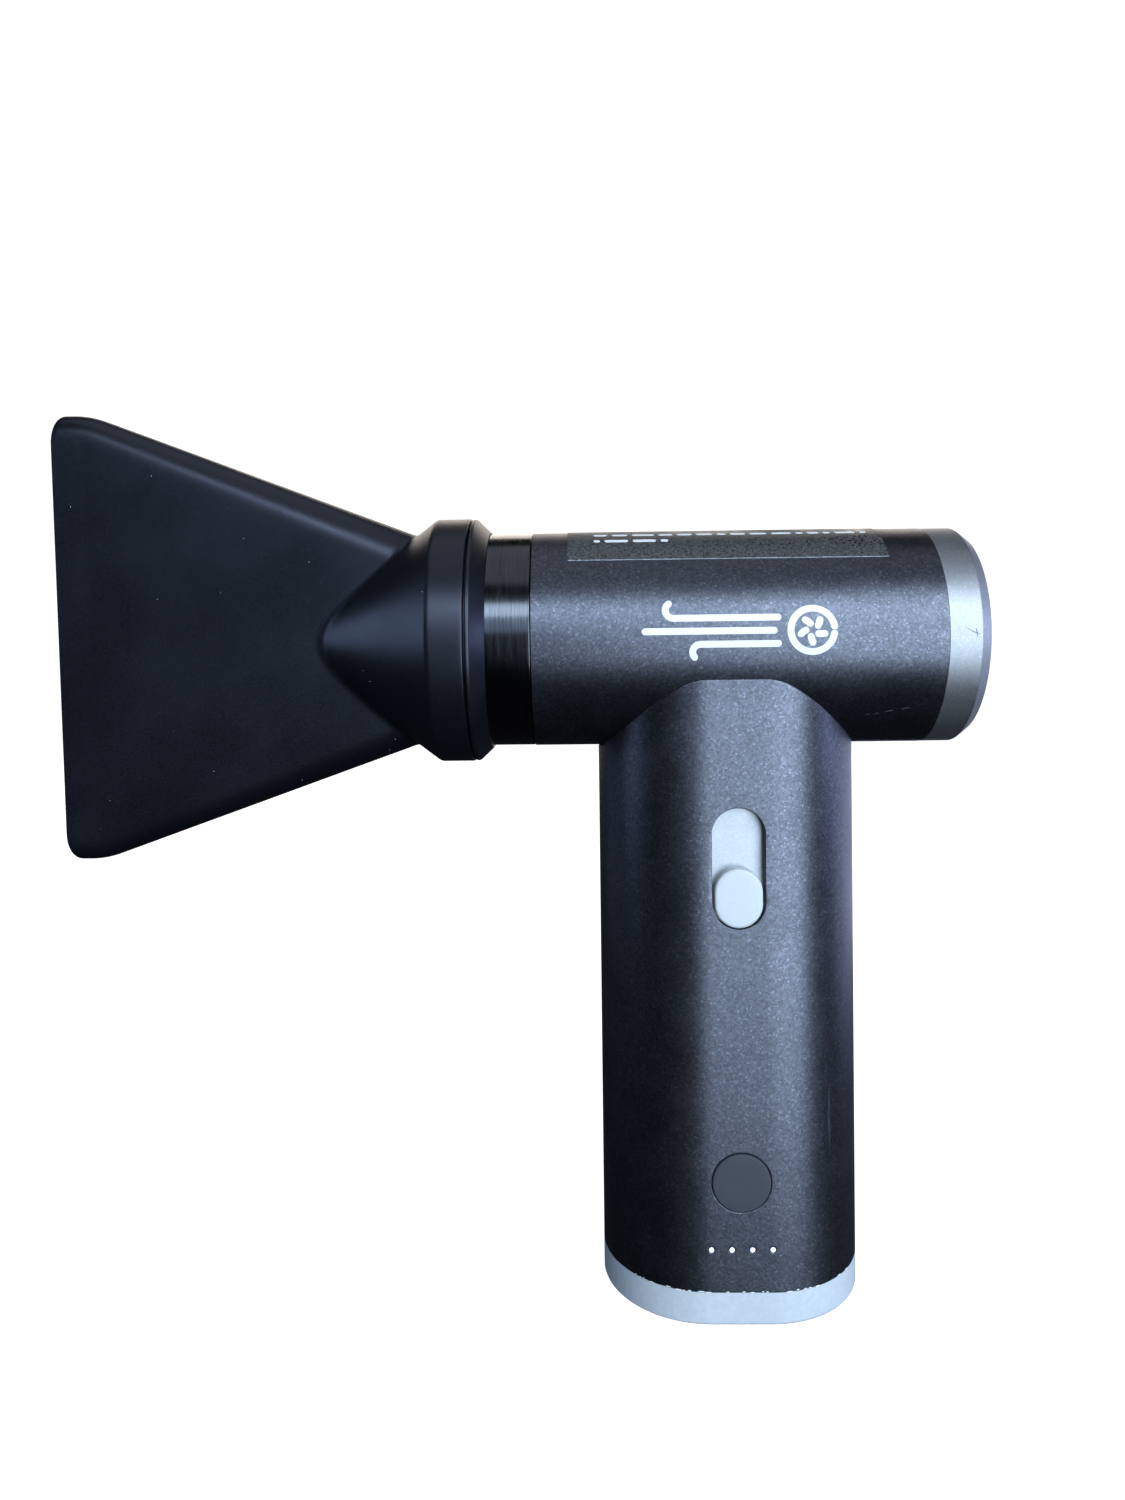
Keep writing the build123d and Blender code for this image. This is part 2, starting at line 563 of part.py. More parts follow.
# Welded straps: the series link below, the two terminal tabs above.
with BuildPart() as nickel_strips:
    block((-15, 15), (4, 10), (SHELF_LOW[1], CELL_BOTTOM))
    block((-15, LEAD_X + 0.8), (4, 10), (CELL_TOP, CELL_TOP + 0.3))
    block((DRIVER_X[1], 15), (4, 10), (CELL_TOP, CELL_TOP + 0.3))

with BuildPart() as battery_leads:
    post(LEAD_X, 9.0, (CELL_TOP + 0.3, 98), LEAD_R)
    post(DRIVER_X[1] + LEAD_R, 5.0, (CELL_TOP + 0.3, 98), LEAD_R)

with BuildPart() as driver_board:
    block(DRIVER_X, (-10, 17), DRIVER_Z)

# Six power transistors, three on each face of the driver board.
with BuildPart() as mosfets:
    for centre_y, centre_z in ((6.6, 103), (13.0, 103), (13.8, 95)):
        for face in (DRIVER_X[0] - 1.0, DRIVER_X[1]):
            block((face, face + 1.0), (centre_y - 2.4, centre_y + 2.4), (centre_z - 3, centre_z + 3))

with BuildPart() as filter_capacitor:
    post(-10, 6, (SHELF_HIGH[1], 106), 5.0)
    fillet(filter_capacitor.edges().group_by(Axis.Z)[-1], 0.8)

with BuildPart() as control_board:
    block((-16, 16), (BOARD_FRONT, BOARD_BACK), (8, 108))
    for post_x, post_z in BOARD_POSTS:
        peg(post_x, (BOARD_FRONT - 1, BOARD_BACK + 1), post_z, 1.1, Mode.SUBTRACT)

with BuildPart() as board_screws:
    for post_x, post_z in BOARD_POSTS:
        peg(post_x, (BOARD_FRONT - 1.2, BOARD_FRONT), post_z, 1.9)
        peg(post_x, (BOARD_FRONT, FRAME_PLATE_Y[0] - 0.6), post_z, 0.73)

with BuildPart() as control_chip:
    block((-3.5, 3.5), (BOARD_BACK, BOARD_BACK + 1.0), (50, 57))

with BuildPart() as charge_board:
    block((-11, 11), (-9.5, 17), (8.0, 9.2))

# Headers that join the charge board and the driver board to the control board.
with BuildPart() as pin_headers:
    block((-6, 6), (BOARD_BACK, -7.0), (9.2, 11.7))
    block((DRIVER_X[1], DRIVER_X[1] + 2.5), (BOARD_BACK, -8.2), (92, 104))

with BuildPart() as usb_c_socket:
    with BuildSketch(front(19.9)):
        with Locations((0, PORT_Z)):
            SlotOverall(8.94, 3.2)
    extrude(amount=7.3)
    with BuildSketch(front(19.9)):
        with Locations((0, PORT_Z)):
            SlotOverall(8.3, 2.56)
    extrude(amount=6.2, mode=Mode.SUBTRACT)
    block((-3.3, 3.3), (13.5, 18.6), (PORT_Z - 0.35, PORT_Z + 0.35))

# ---------------------------------------------------------------- slide switch

LEVER_Z = (85.0, 87.4)
PLATE_Z = (SLOT_Z - SLOT_LENGTH / 2 - SLIDE_TRAVEL - 0.8, SLOT_Z + SLOT_LENGTH / 2 + 0.8)
PLATE_BACK = PLATE_FRONT + 1.2
# Cover plate that fills the slot from behind at both ends of its travel, with a fork for the lever.
with BuildPart() as slide_plate:
    block((-6.7, 6.7), (PLATE_FRONT, PLATE_BACK), PLATE_Z)
    fillet(slide_plate.edges().filter_by(Axis.Y), 1.5)
    block((-0.95, 0.95), (PLATE_BACK - 0.2, PLATE_BACK + 1.1), (LEVER_Z[0] - 1.4, LEVER_Z[0] - 0.05))
    block((-0.95, 0.95), (PLATE_BACK - 0.2, PLATE_BACK + 1.1), (LEVER_Z[1] + 0.05, LEVER_Z[1] + 1.4))

# Thumb knob, clipped to the plate.
with BuildPart() as slide_knob:
    with BuildSketch(front(PLATE_FRONT)):
        with Locations((0, KNOB_Z)):
            SlotOverall(KNOB_LENGTH, KNOB_WIDTH, rotation=90)
    extrude(amount=GRIP_HALF_D + PLATE_FRONT + 0.1)
    fillet(slide_knob.edges().group_by(Axis.Y)[0], 0.45)

# Moulded track behind the shell, with a slit for the fork.
GUIDE_BACK = PLATE_BACK + 1.4
GUIDE_Z = (66.0, 109.5)
with BuildPart() as slide_guide:
    block((-8.4, 8.4), (PLATE_BACK + 0.2, GUIDE_BACK), GUIDE_Z)
    for side in (-1, 1):
        low, high = sorted((side * 6.9, side * 8.4))
        block((low, high), (-19.1, GUIDE_BACK), GUIDE_Z)
        for foot_z in (68.0, 107.0):
            peg(side * 7.2, (GUIDE_BACK, BOARD_FRONT), foot_z, 1.1)
    block((-1.3, 1.3), (-18, -15), (LEVER_Z[0] - 1.8, LEVER_Z[1] + SLIDE_TRAVEL + 1.8), Mode.SUBTRACT)

# Sliding speed potentiometer and the lever that the fork carries.
with BuildPart() as slide_pot:
    block((-4.2, 4.2), (BOARD_FRONT - 3.0, BOARD_FRONT), (80, 106))
    block((-1.2, 1.2), (BOARD_FRONT - 3.5, BOARD_FRONT - 1.6),
          (LEVER_Z[0] - 0.4, LEVER_Z[1] + SLIDE_TRAVEL + 0.4), Mode.SUBTRACT)

with BuildPart() as pot_lever:
    block((-1.0, 1.0), (PLATE_BACK + 0.3, BOARD_FRONT - 1.8), LEVER_Z)

# ---------------------------------------------------------------- power button and charge lights

BUTTON_FACE = -21.7
STEM_END = -16.9
with BuildPart() as power_button:
    peg(0, (BUTTON_FACE, -19.0), BUTTON_Z, BUTTON_R)
    fillet(power_button.edges().group_by(Axis.Y)[0], 0.35)
    peg(0, (-19.3, -18.5), BUTTON_Z, 7.2)
    peg(0, (-18.6, STEM_END), BUTTON_Z, 2.0)

with BuildPart() as tact_switch:
    block((-3.0, 3.0), (BOARD_FRONT - 3.3, BOARD_FRONT), (BUTTON_Z - 3.0, BUTTON_Z + 3.0))
    peg(0, (BOARD_FRONT - 3.5, BOARD_FRONT - 1.6), BUTTON_Z, 1.76, Mode.SUBTRACT)

with BuildPart() as tact_plunger:
    peg(0, (STEM_END, BOARD_FRONT - 2.2), BUTTON_Z, 1.7)

# Carrier that guides the button's stem and holds the light pipe.
with BuildPart() as button_guide:
    block((-9.2, 9.2), (-17.9, -16.7), (11.2, 38.5))
    peg(0, (-18.5, -16), BUTTON_Z, 2.12, Mode.SUBTRACT)
    block((-7.2, 7.2), (-18.5, -16), (LED_Z - 1.3, LED_Z + 1.3), Mode.SUBTRACT)
    for foot_x in (-8.1, 8.1):
        for foot_z in (12.4, 37.2):
            peg(foot_x, (-17, BOARD_FRONT), foot_z, 1.0)

# Clear moulding that carries the light of four diodes to the shell's face.
with BuildPart() as light_pipe:
    block((-7.0, 7.0), (-17.8, BOARD_FRONT - 1.0), (LED_Z - 1.1, LED_Z + 1.1))
    for number in (-1.5, -0.5, 0.5, 1.5):
        peg(number * LED_PITCH, (-GRIP_HALF_D - 0.05, -17.7), LED_Z, 0.62)

with BuildPart() as charge_leds:
    for number in (-1.5, -0.5, 0.5, 1.5):
        centre_x = number * LED_PITCH
        block((centre_x - 0.8, centre_x + 0.8), (BOARD_FRONT - 0.9, BOARD_FRONT), (LED_Z - 0.4, LED_Z + 0.4))

# ---------------------------------------------------------------- hand-in

pieces = {
    "barrel_tube": barrel_tube,
    "front_ring": front_ring,
    "spigot_o_ring": spigot_o_ring,
    "rear_ring": rear_ring,
    "intake_grille": intake_grille,
    "label_film": label_film,
    "fan_duct": fan_duct,
    "tail_cone": tail_cone,
    "motor_can": motor_can,
    "motor_end_cap": motor_end_cap,
    "stator_core": stator_core,
    "motor_windings": motor_windings,
    "motor_shaft": motor_shaft,
    "rotor_magnet": rotor_magnet,
    "impeller": impeller,
    "impeller_nut": impeller_nut,
    "motor_leads": motor_leads,
    "adapter_ring": adapter_ring,
    "nozzle_body": nozzle_body,
    "handle_shell": handle_shell,
    "bottom_cap": bottom_cap,
    "cap_screws": cap_screws,
    "saddle_bracket": saddle_bracket,
    "saddle_screws": saddle_screws,
    "inner_frame": inner_frame,
    "frame_screws": frame_screws,
    "nickel_strips": nickel_strips,
    "battery_leads": battery_leads,
    "driver_board": driver_board,
    "mosfets": mosfets,
    "filter_capacitor": filter_capacitor,
    "control_board": control_board,
    "board_screws": board_screws,
    "control_chip": control_chip,
    "charge_board": charge_board,
    "pin_headers": pin_headers,
    "usb_c_socket": usb_c_socket,
    "slide_plate": slide_plate,
    "slide_knob": slide_knob,
    "slide_guide": slide_guide,
    "slide_pot": slide_pot,
    "pot_lever": pot_lever,
    "power_button": power_button,
    "tact_switch": tact_switch,
    "tact_plunger": tact_plunger,
    "button_guide": button_guide,
    "light_pipe": light_pipe,
    "charge_leds": charge_leds,
}
pieces.update(isolator_parts)
pieces.update(bearing_parts)
pieces.update(cell_parts)

for name, piece in pieces.items():
    piece.part.label = name
    export_step(piece.part, f"parts/{name}.step")
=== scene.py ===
"""A cordless car dryer blower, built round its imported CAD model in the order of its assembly."""
import math
import random

import bmesh
import bpy
import numpy as np
from mathutils import Matrix, Vector
from mathutils.geometry import delaunay_2d_cdt


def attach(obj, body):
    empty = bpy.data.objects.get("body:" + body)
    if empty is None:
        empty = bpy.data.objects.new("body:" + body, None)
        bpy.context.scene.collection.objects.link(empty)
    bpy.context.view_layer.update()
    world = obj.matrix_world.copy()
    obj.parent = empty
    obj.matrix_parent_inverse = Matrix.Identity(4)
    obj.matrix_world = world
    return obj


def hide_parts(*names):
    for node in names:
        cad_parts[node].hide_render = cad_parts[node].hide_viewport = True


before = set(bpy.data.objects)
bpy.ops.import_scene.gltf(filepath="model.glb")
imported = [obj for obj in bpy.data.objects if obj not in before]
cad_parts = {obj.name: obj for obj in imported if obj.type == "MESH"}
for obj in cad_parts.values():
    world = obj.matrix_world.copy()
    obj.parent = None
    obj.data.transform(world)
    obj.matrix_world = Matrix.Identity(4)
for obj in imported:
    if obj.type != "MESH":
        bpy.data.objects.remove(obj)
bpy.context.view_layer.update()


# --- Camera -------------------------------------------------------------------------------------
# A phone's wide lens held close to the object, level with the barrel and square to the switches.
# Its shift is the framing, which leaves more room above the object than below it.
MM, AXIS = 0.001, 138.4
AXIS_Z = AXIS * MM
lens = bpy.data.cameras.new("camera")
lens.lens, lens.sensor_width, lens.sensor_fit = 25.36, 36.0, "AUTO"
lens.shift_y = -0.05
camera = bpy.data.objects.new("camera", lens)
camera.location = (-0.03105, -0.23144, AXIS_Z - 3.85 * MM)
camera.rotation_euler = [math.radians(turn) for turn in (89.02, 0.693, 0.962)]
bpy.context.scene.collection.objects.link(camera)
bpy.context.scene.camera = camera


# --- Studio -------------------------------------------------------------------------------------
# One big window in front and to the right and ten weaker lights, so that the dark metal shows a broad
# cool band and falls to black on its left. The pale cove is one-sided: it shows from within, and from
# below it is clear, with a white page behind it.
def linear(colour):
    """The linear colour of an sRGB hex value."""
    parts = [int(colour[i:i + 2], 16) / 255 for i in (1, 3, 5)]
    return tuple(p / 12.92 if p <= 0.04045 else ((p + 0.055) / 1.055) ** 2.4 for p in parts) + (1.0,)


def add(tree, kind, sockets=None, stops=None, **settings):
    """Adds one node: settings are its own values, sockets its inputs, each a link or a value."""
    new = tree.nodes.new(kind)
    for name, value in settings.items():
        setattr(new, name, value)
    for key, value in (sockets or {}).items():
        if isinstance(value, bpy.types.NodeSocket):
            tree.links.new(value, new.inputs[key])
        else:
            new.inputs[key].default_value = value
    for i, (place, colour) in enumerate(stops or []):
        stop = new.color_ramp.elements[i] if i < 2 else new.color_ramp.elements.new(place)
        stop.position, stop.color = place, colour
    return new


def new_material(name):
    """An empty material and its node tree."""
    made = bpy.data.materials.new(name)
    made.use_nodes = True
    made.node_tree.nodes.clear()
    return made, made.node_tree


def softbox(name, place, target, width, height, power, colour):
    """A rectangular light, sized in metres, that faces its target and isn't seen itself."""
    light = bpy.data.lights.new(name, "AREA")
    light.shape, light.size, light.size_y = "RECTANGLE", width, height
    light.energy, light.color = power, linear(colour)[:3]
    lamp = bpy.data.objects.new(name, light)
    lamp.location = place
    lamp.rotation_euler = (Vector(target) - Vector(place)).to_track_quat("-Z", "Y").to_euler()
    lamp.visible_camera = False
    bpy.context.scene.collection.objects.link(lamp)


world = bpy.data.worlds.new("room")
world.use_nodes = True
tree = world.node_tree
tree.nodes.clear()
sky = add(tree, "ShaderNodeBackground", {"Color": linear("#aab0bc"), "Strength": 0.025})
page = add(tree, "ShaderNodeBackground", {"Color": linear("#ffffff"), "Strength": 1.0})
seen = add(tree, "ShaderNodeLightPath")
room = add(tree, "ShaderNodeMixShader", {0: seen.outputs["Is Camera Ray"], 1: sky.outputs[0],
                                         2: page.outputs[0]})
add(tree, "ShaderNodeOutputWorld", {"Surface": room.outputs[0]})
bpy.context.scene.world = world
bpy.context.scene.view_settings.view_transform = "Standard"

softbox("window", (0.53, -1.02, 0.20), (0.0, 0.0, 0.12), 1.04, 1.34, 21.5, "#d6e9fa")
softbox("skylight", (-0.15, -0.88, 0.66), (-0.03, 0.0, 0.13), 0.55, 0.24, 2.6, "#d4e9fa")
softbox("pale_wall", (-0.22, -1.04, 0.45), (-0.06, 0.0, 0.13), 0.5, 0.36, 0.8, "#c4dcfa")
softbox("window_head", (0.46, -0.84, 0.78), (0.0, 0.0, 0.13), 0.5, 0.3, 2.3, "#d8eafa")
softbox("left_wall", (-1.20, -0.10, 0.33), (-0.06, 0.0, 0.13), 0.5, 0.56, 2.3, "#bcd6fa")
softbox("left_back", (-1.04, 0.60, 0.10), (0.0, 0.0, 0.10), 0.6, 0.6, 0.25, "#bcd0ff")
softbox("side_window", (1.16, -0.10, 0.21), (0.0, 0.0, 0.13), 0.35, 0.25, 2.2, "#bcccfa")
softbox("right_wall", (1.06, 0.56, 0.16), (0.0, 0.0, 0.11), 1.0, 0.9, 4.2, "#cfdcff")
softbox("doorway", (0.50, 1.10, 0.10), (0.0, 0.0, 0.08), 0.5, 0.7, 1.5, "#d4deff")
softbox("ceiling", (-0.05, -0.05, 1.40), (0.0, 0.0, 0.13), 1.2, 1.1, 2.2, "#e8eefc")
softbox("behind", (0.0, 1.1, 0.5), (0.0, 0.0, 0.1), 1.6, 0.9, 9.0, "#fff4e8")

cove = bmesh.new()
FLOOR_REACH, WALL_CURVE, FLOOR_DROP, STEPS = 2.2, 0.9, 0.2 * MM, 64
rings = [(0.02, 0.0), (0.5, 0.0), (FLOOR_REACH - WALL_CURVE, 0.0)]
rings += [(FLOOR_REACH - WALL_CURVE + WALL_CURVE * math.sin(a), WALL_CURVE - WALL_CURVE * math.cos(a))
          for a in (math.radians(10 * i) for i in range(1, 9))]
rings += [(FLOOR_REACH, 1.0), (FLOOR_REACH, 1.8), (1.7, 2.6), (1.0, 3.0), (0.02, 3.1)]
loops = [[cove.verts.new((r * math.cos(2 * math.pi * i / STEPS), r * math.sin(2 * math.pi * i / STEPS), z))
          for i in range(STEPS)] for r, z in rings]
for low, high in zip(loops, loops[1:]):
    for i in range(STEPS):
        cove.faces.new((low[i], low[i - 1], high[i - 1], high[i]))
cove.faces.new(loops[0])
cove.faces.new(loops[-1][::-1])
bmesh.ops.translate(cove, verts=cove.verts, vec=(0, 0, -FLOOR_DROP))
mesh = bpy.data.meshes.new("cove")
cove.to_mesh(mesh)
cove.free()
mesh.shade_smooth()
floor = bpy.data.objects.new("cove", mesh)
bpy.context.scene.collection.objects.link(floor)
paper, tree = new_material("pale_studio_paper")
fibres = add(tree, "ShaderNodeTexNoise", {"Scale": 900.0, "Detail": 3.0})
sheen = add(tree, "ShaderNodeBump", {"Height": fibres.outputs[0], "Distance": 0.0001, "Strength": 0.2})
shader = add(tree, "ShaderNodeBsdfPrincipled", {
    "Base Color": linear("#9a9b9c"), "Roughness": 0.9, "Specular IOR Level": 0.1,
    "Emission Color": linear("#fdfdfe"), "Emission Strength": 1.1, "Normal": sheen.outputs[0]})
side = add(tree, "ShaderNodeNewGeometry")
gone = add(tree, "ShaderNodeBsdfTransparent")
one_sided = add(tree, "ShaderNodeMixShader", {0: side.outputs["Backfacing"], 1: shader.outputs[0],
                                              2: gone.outputs[0]})
add(tree, "ShaderNodeOutputMaterial", {"Surface": one_sided.outputs[0]})
mesh.materials.append(paper)
floor.visible_glossy = floor.visible_diffuse = floor.visible_shadow = False


# --- Barrel tube --------------------------------------------------------------------------------
# Extruded aluminium tube, blasted with fine beads and dyed black when it was anodised. The blasting
# leaves small facets that sparkle in a broad soft highlight; it joins a ring at each end by a seam.
def new_piece(name, shape, coat, body, slot, *replaced, edge=0.0):
    """Makes a piece of a bmesh, shaded smooth, its sharp edges kept or eased by edge mm."""
    bmesh.ops.recalc_face_normals(shape, faces=shape.faces)
    mesh = bpy.data.meshes.new(name)
    shape.to_mesh(mesh)
    shape.free()
    mesh.shade_smooth()
    mesh.materials.append(coat)
    made = bpy.data.objects.new(name, mesh)
    bpy.context.scene.collection.objects.link(made)
    if not edge:
        mesh.set_sharp_from_angle(angle=math.radians(35))
    else:
        eased = made.modifiers.new("eased_edges", "BEVEL")
        eased.width, eased.segments, eased.limit_method = edge * MM, 3, "ANGLE"
        eased.angle_limit, eased.harden_normals = math.radians(20), True
    if replaced:
        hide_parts(*replaced)
    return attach(made, body)


def coat_nodes(coat, *names):
    """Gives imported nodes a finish; their shapes stay as they are."""
    for name in names:
        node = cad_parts[name]
        node.data.materials.clear()
        node.data.materials.append(coat)


def finish(name, colours, rough, grain, relief=0.0, stretch=(1, 1, 1), metal=0.0, **sockets):
    """Two close colours, a range of roughness and a relief in mm of one grain, dulled by handling."""
    made, tree = new_material(name)
    place = add(tree, "ShaderNodeTexCoord")
    drawn = add(tree, "ShaderNodeMapping", {"Vector": place.outputs["Object"], "Scale": stretch})
    grains = add(tree, "ShaderNodeTexNoise", {"Vector": drawn.outputs[0], "Scale": 1000.0 / grain,
                                              "Detail": 4.0, "Roughness": 0.6})
    handling = add(tree, "ShaderNodeTexNoise", {"Vector": place.outputs["Object"], "Scale": 1000.0 / 18,
                                                "Detail": 3.0, "Roughness": 0.5})
    both = add(tree, "ShaderNodeMath", {0: grains.outputs["Fac"], 1: handling.outputs["Fac"]},
               operation="ADD")
    tint = add(tree, "ShaderNodeValToRGB", {"Fac": grains.outputs["Fac"]},
               stops=[(0.35, linear(colours[0])), (0.65, linear(colours[1]))])
    dull = add(tree, "ShaderNodeMapRange", {"Value": both.outputs[0], "From Min": 0.75,
                                            "From Max": 1.25, "To Min": rough[0], "To Max": rough[1]})
    bump = add(tree, "ShaderNodeBump", {"Height": grains.outputs["Fac"], "Strength": 0.5,
                                        "Distance": relief * MM})
    shader = add(tree, "ShaderNodeBsdfPrincipled", {
        "Base Color": tint.outputs[0], "Roughness": dull.outputs[0], "Metallic": metal,
        "Normal": bump.outputs[0], **{key.replace("_", " "): value for key, value in sockets.items()}})
    add(tree, "ShaderNodeOutputMaterial", {"Surface": shader.outputs[0]})
    return made


def blasted(name, dark, light, glint, rough, facet):
    """Bead-blasted metal: facets of a size in mm, each of its own brightness, a few of them bright."""
    made, tree = new_material(name)
    place = add(tree, "ShaderNodeTexCoord")
    facets = add(tree, "ShaderNodeTexVoronoi", {"Vector": place.outputs["Object"],
                                                "Scale": 1000.0 / facet})
    chance = add(tree, "ShaderNodeSeparateColor", {"Color": facets.outputs["Color"]})
    cloud = add(tree, "ShaderNodeTexNoise", {"Vector": place.outputs["Object"], "Scale": 1000.0 / 9,
                                             "Detail": 5.0, "Roughness": 0.7})
    tint = add(tree, "ShaderNodeValToRGB", {"Fac": chance.outputs[0]},
               stops=[(0.0, linear(dark)), (0.93, linear(light)), (0.995, linear(glint))])
    patchy = add(tree, "ShaderNodeMapRange", {"Value": cloud.outputs["Fac"], "From Min": 0.3,
                                              "From Max": 0.7, "To Min": rough[0], "To Max": rough[1]})
    bump = add(tree, "ShaderNodeBump", {"Height": chance.outputs[1], "Strength": 0.3,
                                        "Distance": 0.0024 * MM})
    shader = add(tree, "ShaderNodeBsdfPrincipled", {
        "Base Color": tint.outputs[0], "Roughness": patchy.outputs[0], "Metallic": 1.0,
        "Normal": bump.outputs[0]})
    add(tree, "ShaderNodeOutputMaterial", {"Surface": shader.outputs[0]})
    return made


# Black dye in the blasted skin: cool dark grey with a soft sheen. Real facets of about 0.1 mm are too
# fine to show, so the black skin's are drawn at 0.36 mm and the silver's at 0.24 mm.
BLACK_ANODISED = blasted("black_anodised_aluminium", "#4e5057", "#636570", "#737783", (0.33, 0.41), 0.36)
coat_nodes(BLACK_ANODISED, "barrel_tube")


# --- Rings of the barrel ------------------------------------------------------------------------
# Three turned rings: the gloss black spigot at the outlet, the black plastic adapter that grips it,
# and the silver ring round the intake. The gloss one shows its fine turning lines.
def turned(outline, steps=192):
    """A closed ring: an outline of (x, radius) points in mm, swept round the barrel's axis."""
    shape = bmesh.new()
    rounds = []
    for away in (2 * math.pi * i / steps for i in range(steps)):
        rounds.append([shape.verts.new((x * MM, r * MM * math.sin(away),
                                        AXIS_Z + r * MM * math.cos(away))) for x, r in outline])
    for near, far in zip(rounds, rounds[1:] + rounds[:1]):
        for k in range(len(outline)):
            shape.faces.new((near[k - 1], near[k], far[k], far[k - 1]))
    return shape


# Dyed black over a turned face, without blasting: a gloss that runs round the ring in fine lines.
GLOSS_BLACK = finish("gloss_black_turned_aluminium", ("#4b4d52", "#5d5f65"), (0.12, 0.24), 0.22, 0.002,
                     stretch=(1, 0.03, 0.03), metal=1.0)
FRONT_RING = [(-61.0, 19.0), (-61.0, 22.2), (-60.3, 22.9), (-57.0, 22.9), (-57.0, 21.1), (-55.0, 21.1),
              (-55.0, 22.9), (-41.1, 22.9), (-40.8, 22.6), (-40.8, 21.4), (-34.0, 21.4), (-34.0, 20.3)]
new_piece("front_ring_turned", turned(FRONT_RING), GLOSS_BLACK, "housing", "ring_gloss_black",
          "front_ring", edge=0.12)

# Blasted like the tube but left undyed: bright, with a broad and almost even sheen.
SILVER = blasted("silver_anodised_aluminium", "#a0a1a6", "#a9aaae", "#b8bac0", (0.46, 0.54), 0.24)
REAR_RING = [(41.5, 21.4), (41.5, 22.95), (48.0, 22.95), (50.4, 21.1), (50.4, 19.8), (49.6, 19.0),
             (47.55, 19.0), (47.55, 20.4), (35.0, 20.4), (35.0, 21.4)]
new_piece("rear_ring_blasted", turned(REAR_RING), SILVER, "housing", "ring_silver", "rear_ring", edge=0.18)

# Blue-black plastic with a soft sheen and a fine spark-eroded texture, drawn at 0.35 mm.
BLACK_ABS = finish("moulded_black_abs", ("#07080d", "#0c0e16"), (0.31, 0.42), 0.35, 0.008, IOR=1.6,
                   Specular_Tint=(0.77, 0.81, 1.0, 1.0))
ADAPTER = [(-61.8, 22.2), (-61.8, 24.55), (-59.8, 24.55), (-59.0, 25.05), (-58.2, 24.55),
           (-53.65, 24.55), (-53.65, 26.0), (-53.45, 26.2), (-53.15, 26.2), (-52.85, 26.12),
           (-52.6, 25.92), (-50.0, 23.4), (-50.0, 23.3), (-50.4, 23.0), (-61.2, 23.0), (-61.2, 22.2)]
new_piece("adapter_ring_moulded", turned(ADAPTER), BLACK_ABS, "nozzle_adapter", "nozzle_black",
          "adapter_ring", edge=0.2)
# Rubber: dark and dull.
coat_nodes(finish("black_nitrile_rubber", ("#141416", "#1d1d20"), (0.55, 0.7), 0.3, 0.01, IOR=1.52),
           "spigot_o_ring", "front_isolator", "rear_isolator")


# --- Intake guard -------------------------------------------------------------------------------
# Black moulded guard: rings and spokes that meet in a boss with a dished face, trapped by the ring.
def grown(name, sizes, lay, coat):
    """A plain mesh grown by a geometry node tree; sizes are its named inputs, and lay adds its nodes."""
    tree = bpy.data.node_groups.new(name, "GeometryNodeTree")
    tree.interface.new_socket(name="Geometry", in_out="OUTPUT", socket_type="NodeSocketGeometry")
    tree.interface.new_socket(name="Start", in_out="INPUT", socket_type="NodeSocketGeometry")
    keys = {}
    for label, value in sizes.items():
        kind = "NodeSocketInt" if isinstance(value, int) else "NodeSocketFloat"
        keys[label] = tree.interface.new_socket(name=label, in_out="INPUT", socket_type=kind).identifier
    given = add(tree, "NodeGroupInput")
    whole = add(tree, "GeometryNodeRealizeInstances", {0: lay(tree, given.outputs)})
    dressed = add(tree, "GeometryNodeSetMaterial", {0: whole.outputs[0], "Material": coat})
    add(tree, "NodeGroupOutput", {0: dressed.outputs[0]})
    seed = bpy.data.objects.new(name, bpy.data.meshes.new(name))
    bpy.context.scene.collection.objects.link(seed)
    growth = seed.modifiers.new("growth", "NODES")
    growth.node_group = tree
    for label, value in sizes.items():
        growth[keys[label]] = value
    bpy.context.view_layer.update()
    plain = bpy.data.meshes.new_from_object(seed.evaluated_get(bpy.context.evaluated_depsgraph_get()))
    bpy.data.objects.remove(seed)
    shape = bmesh.new()
    shape.from_mesh(plain)
    bmesh.ops.remove_doubles(shape, verts=shape.verts, dist=1e-7)
    return shape


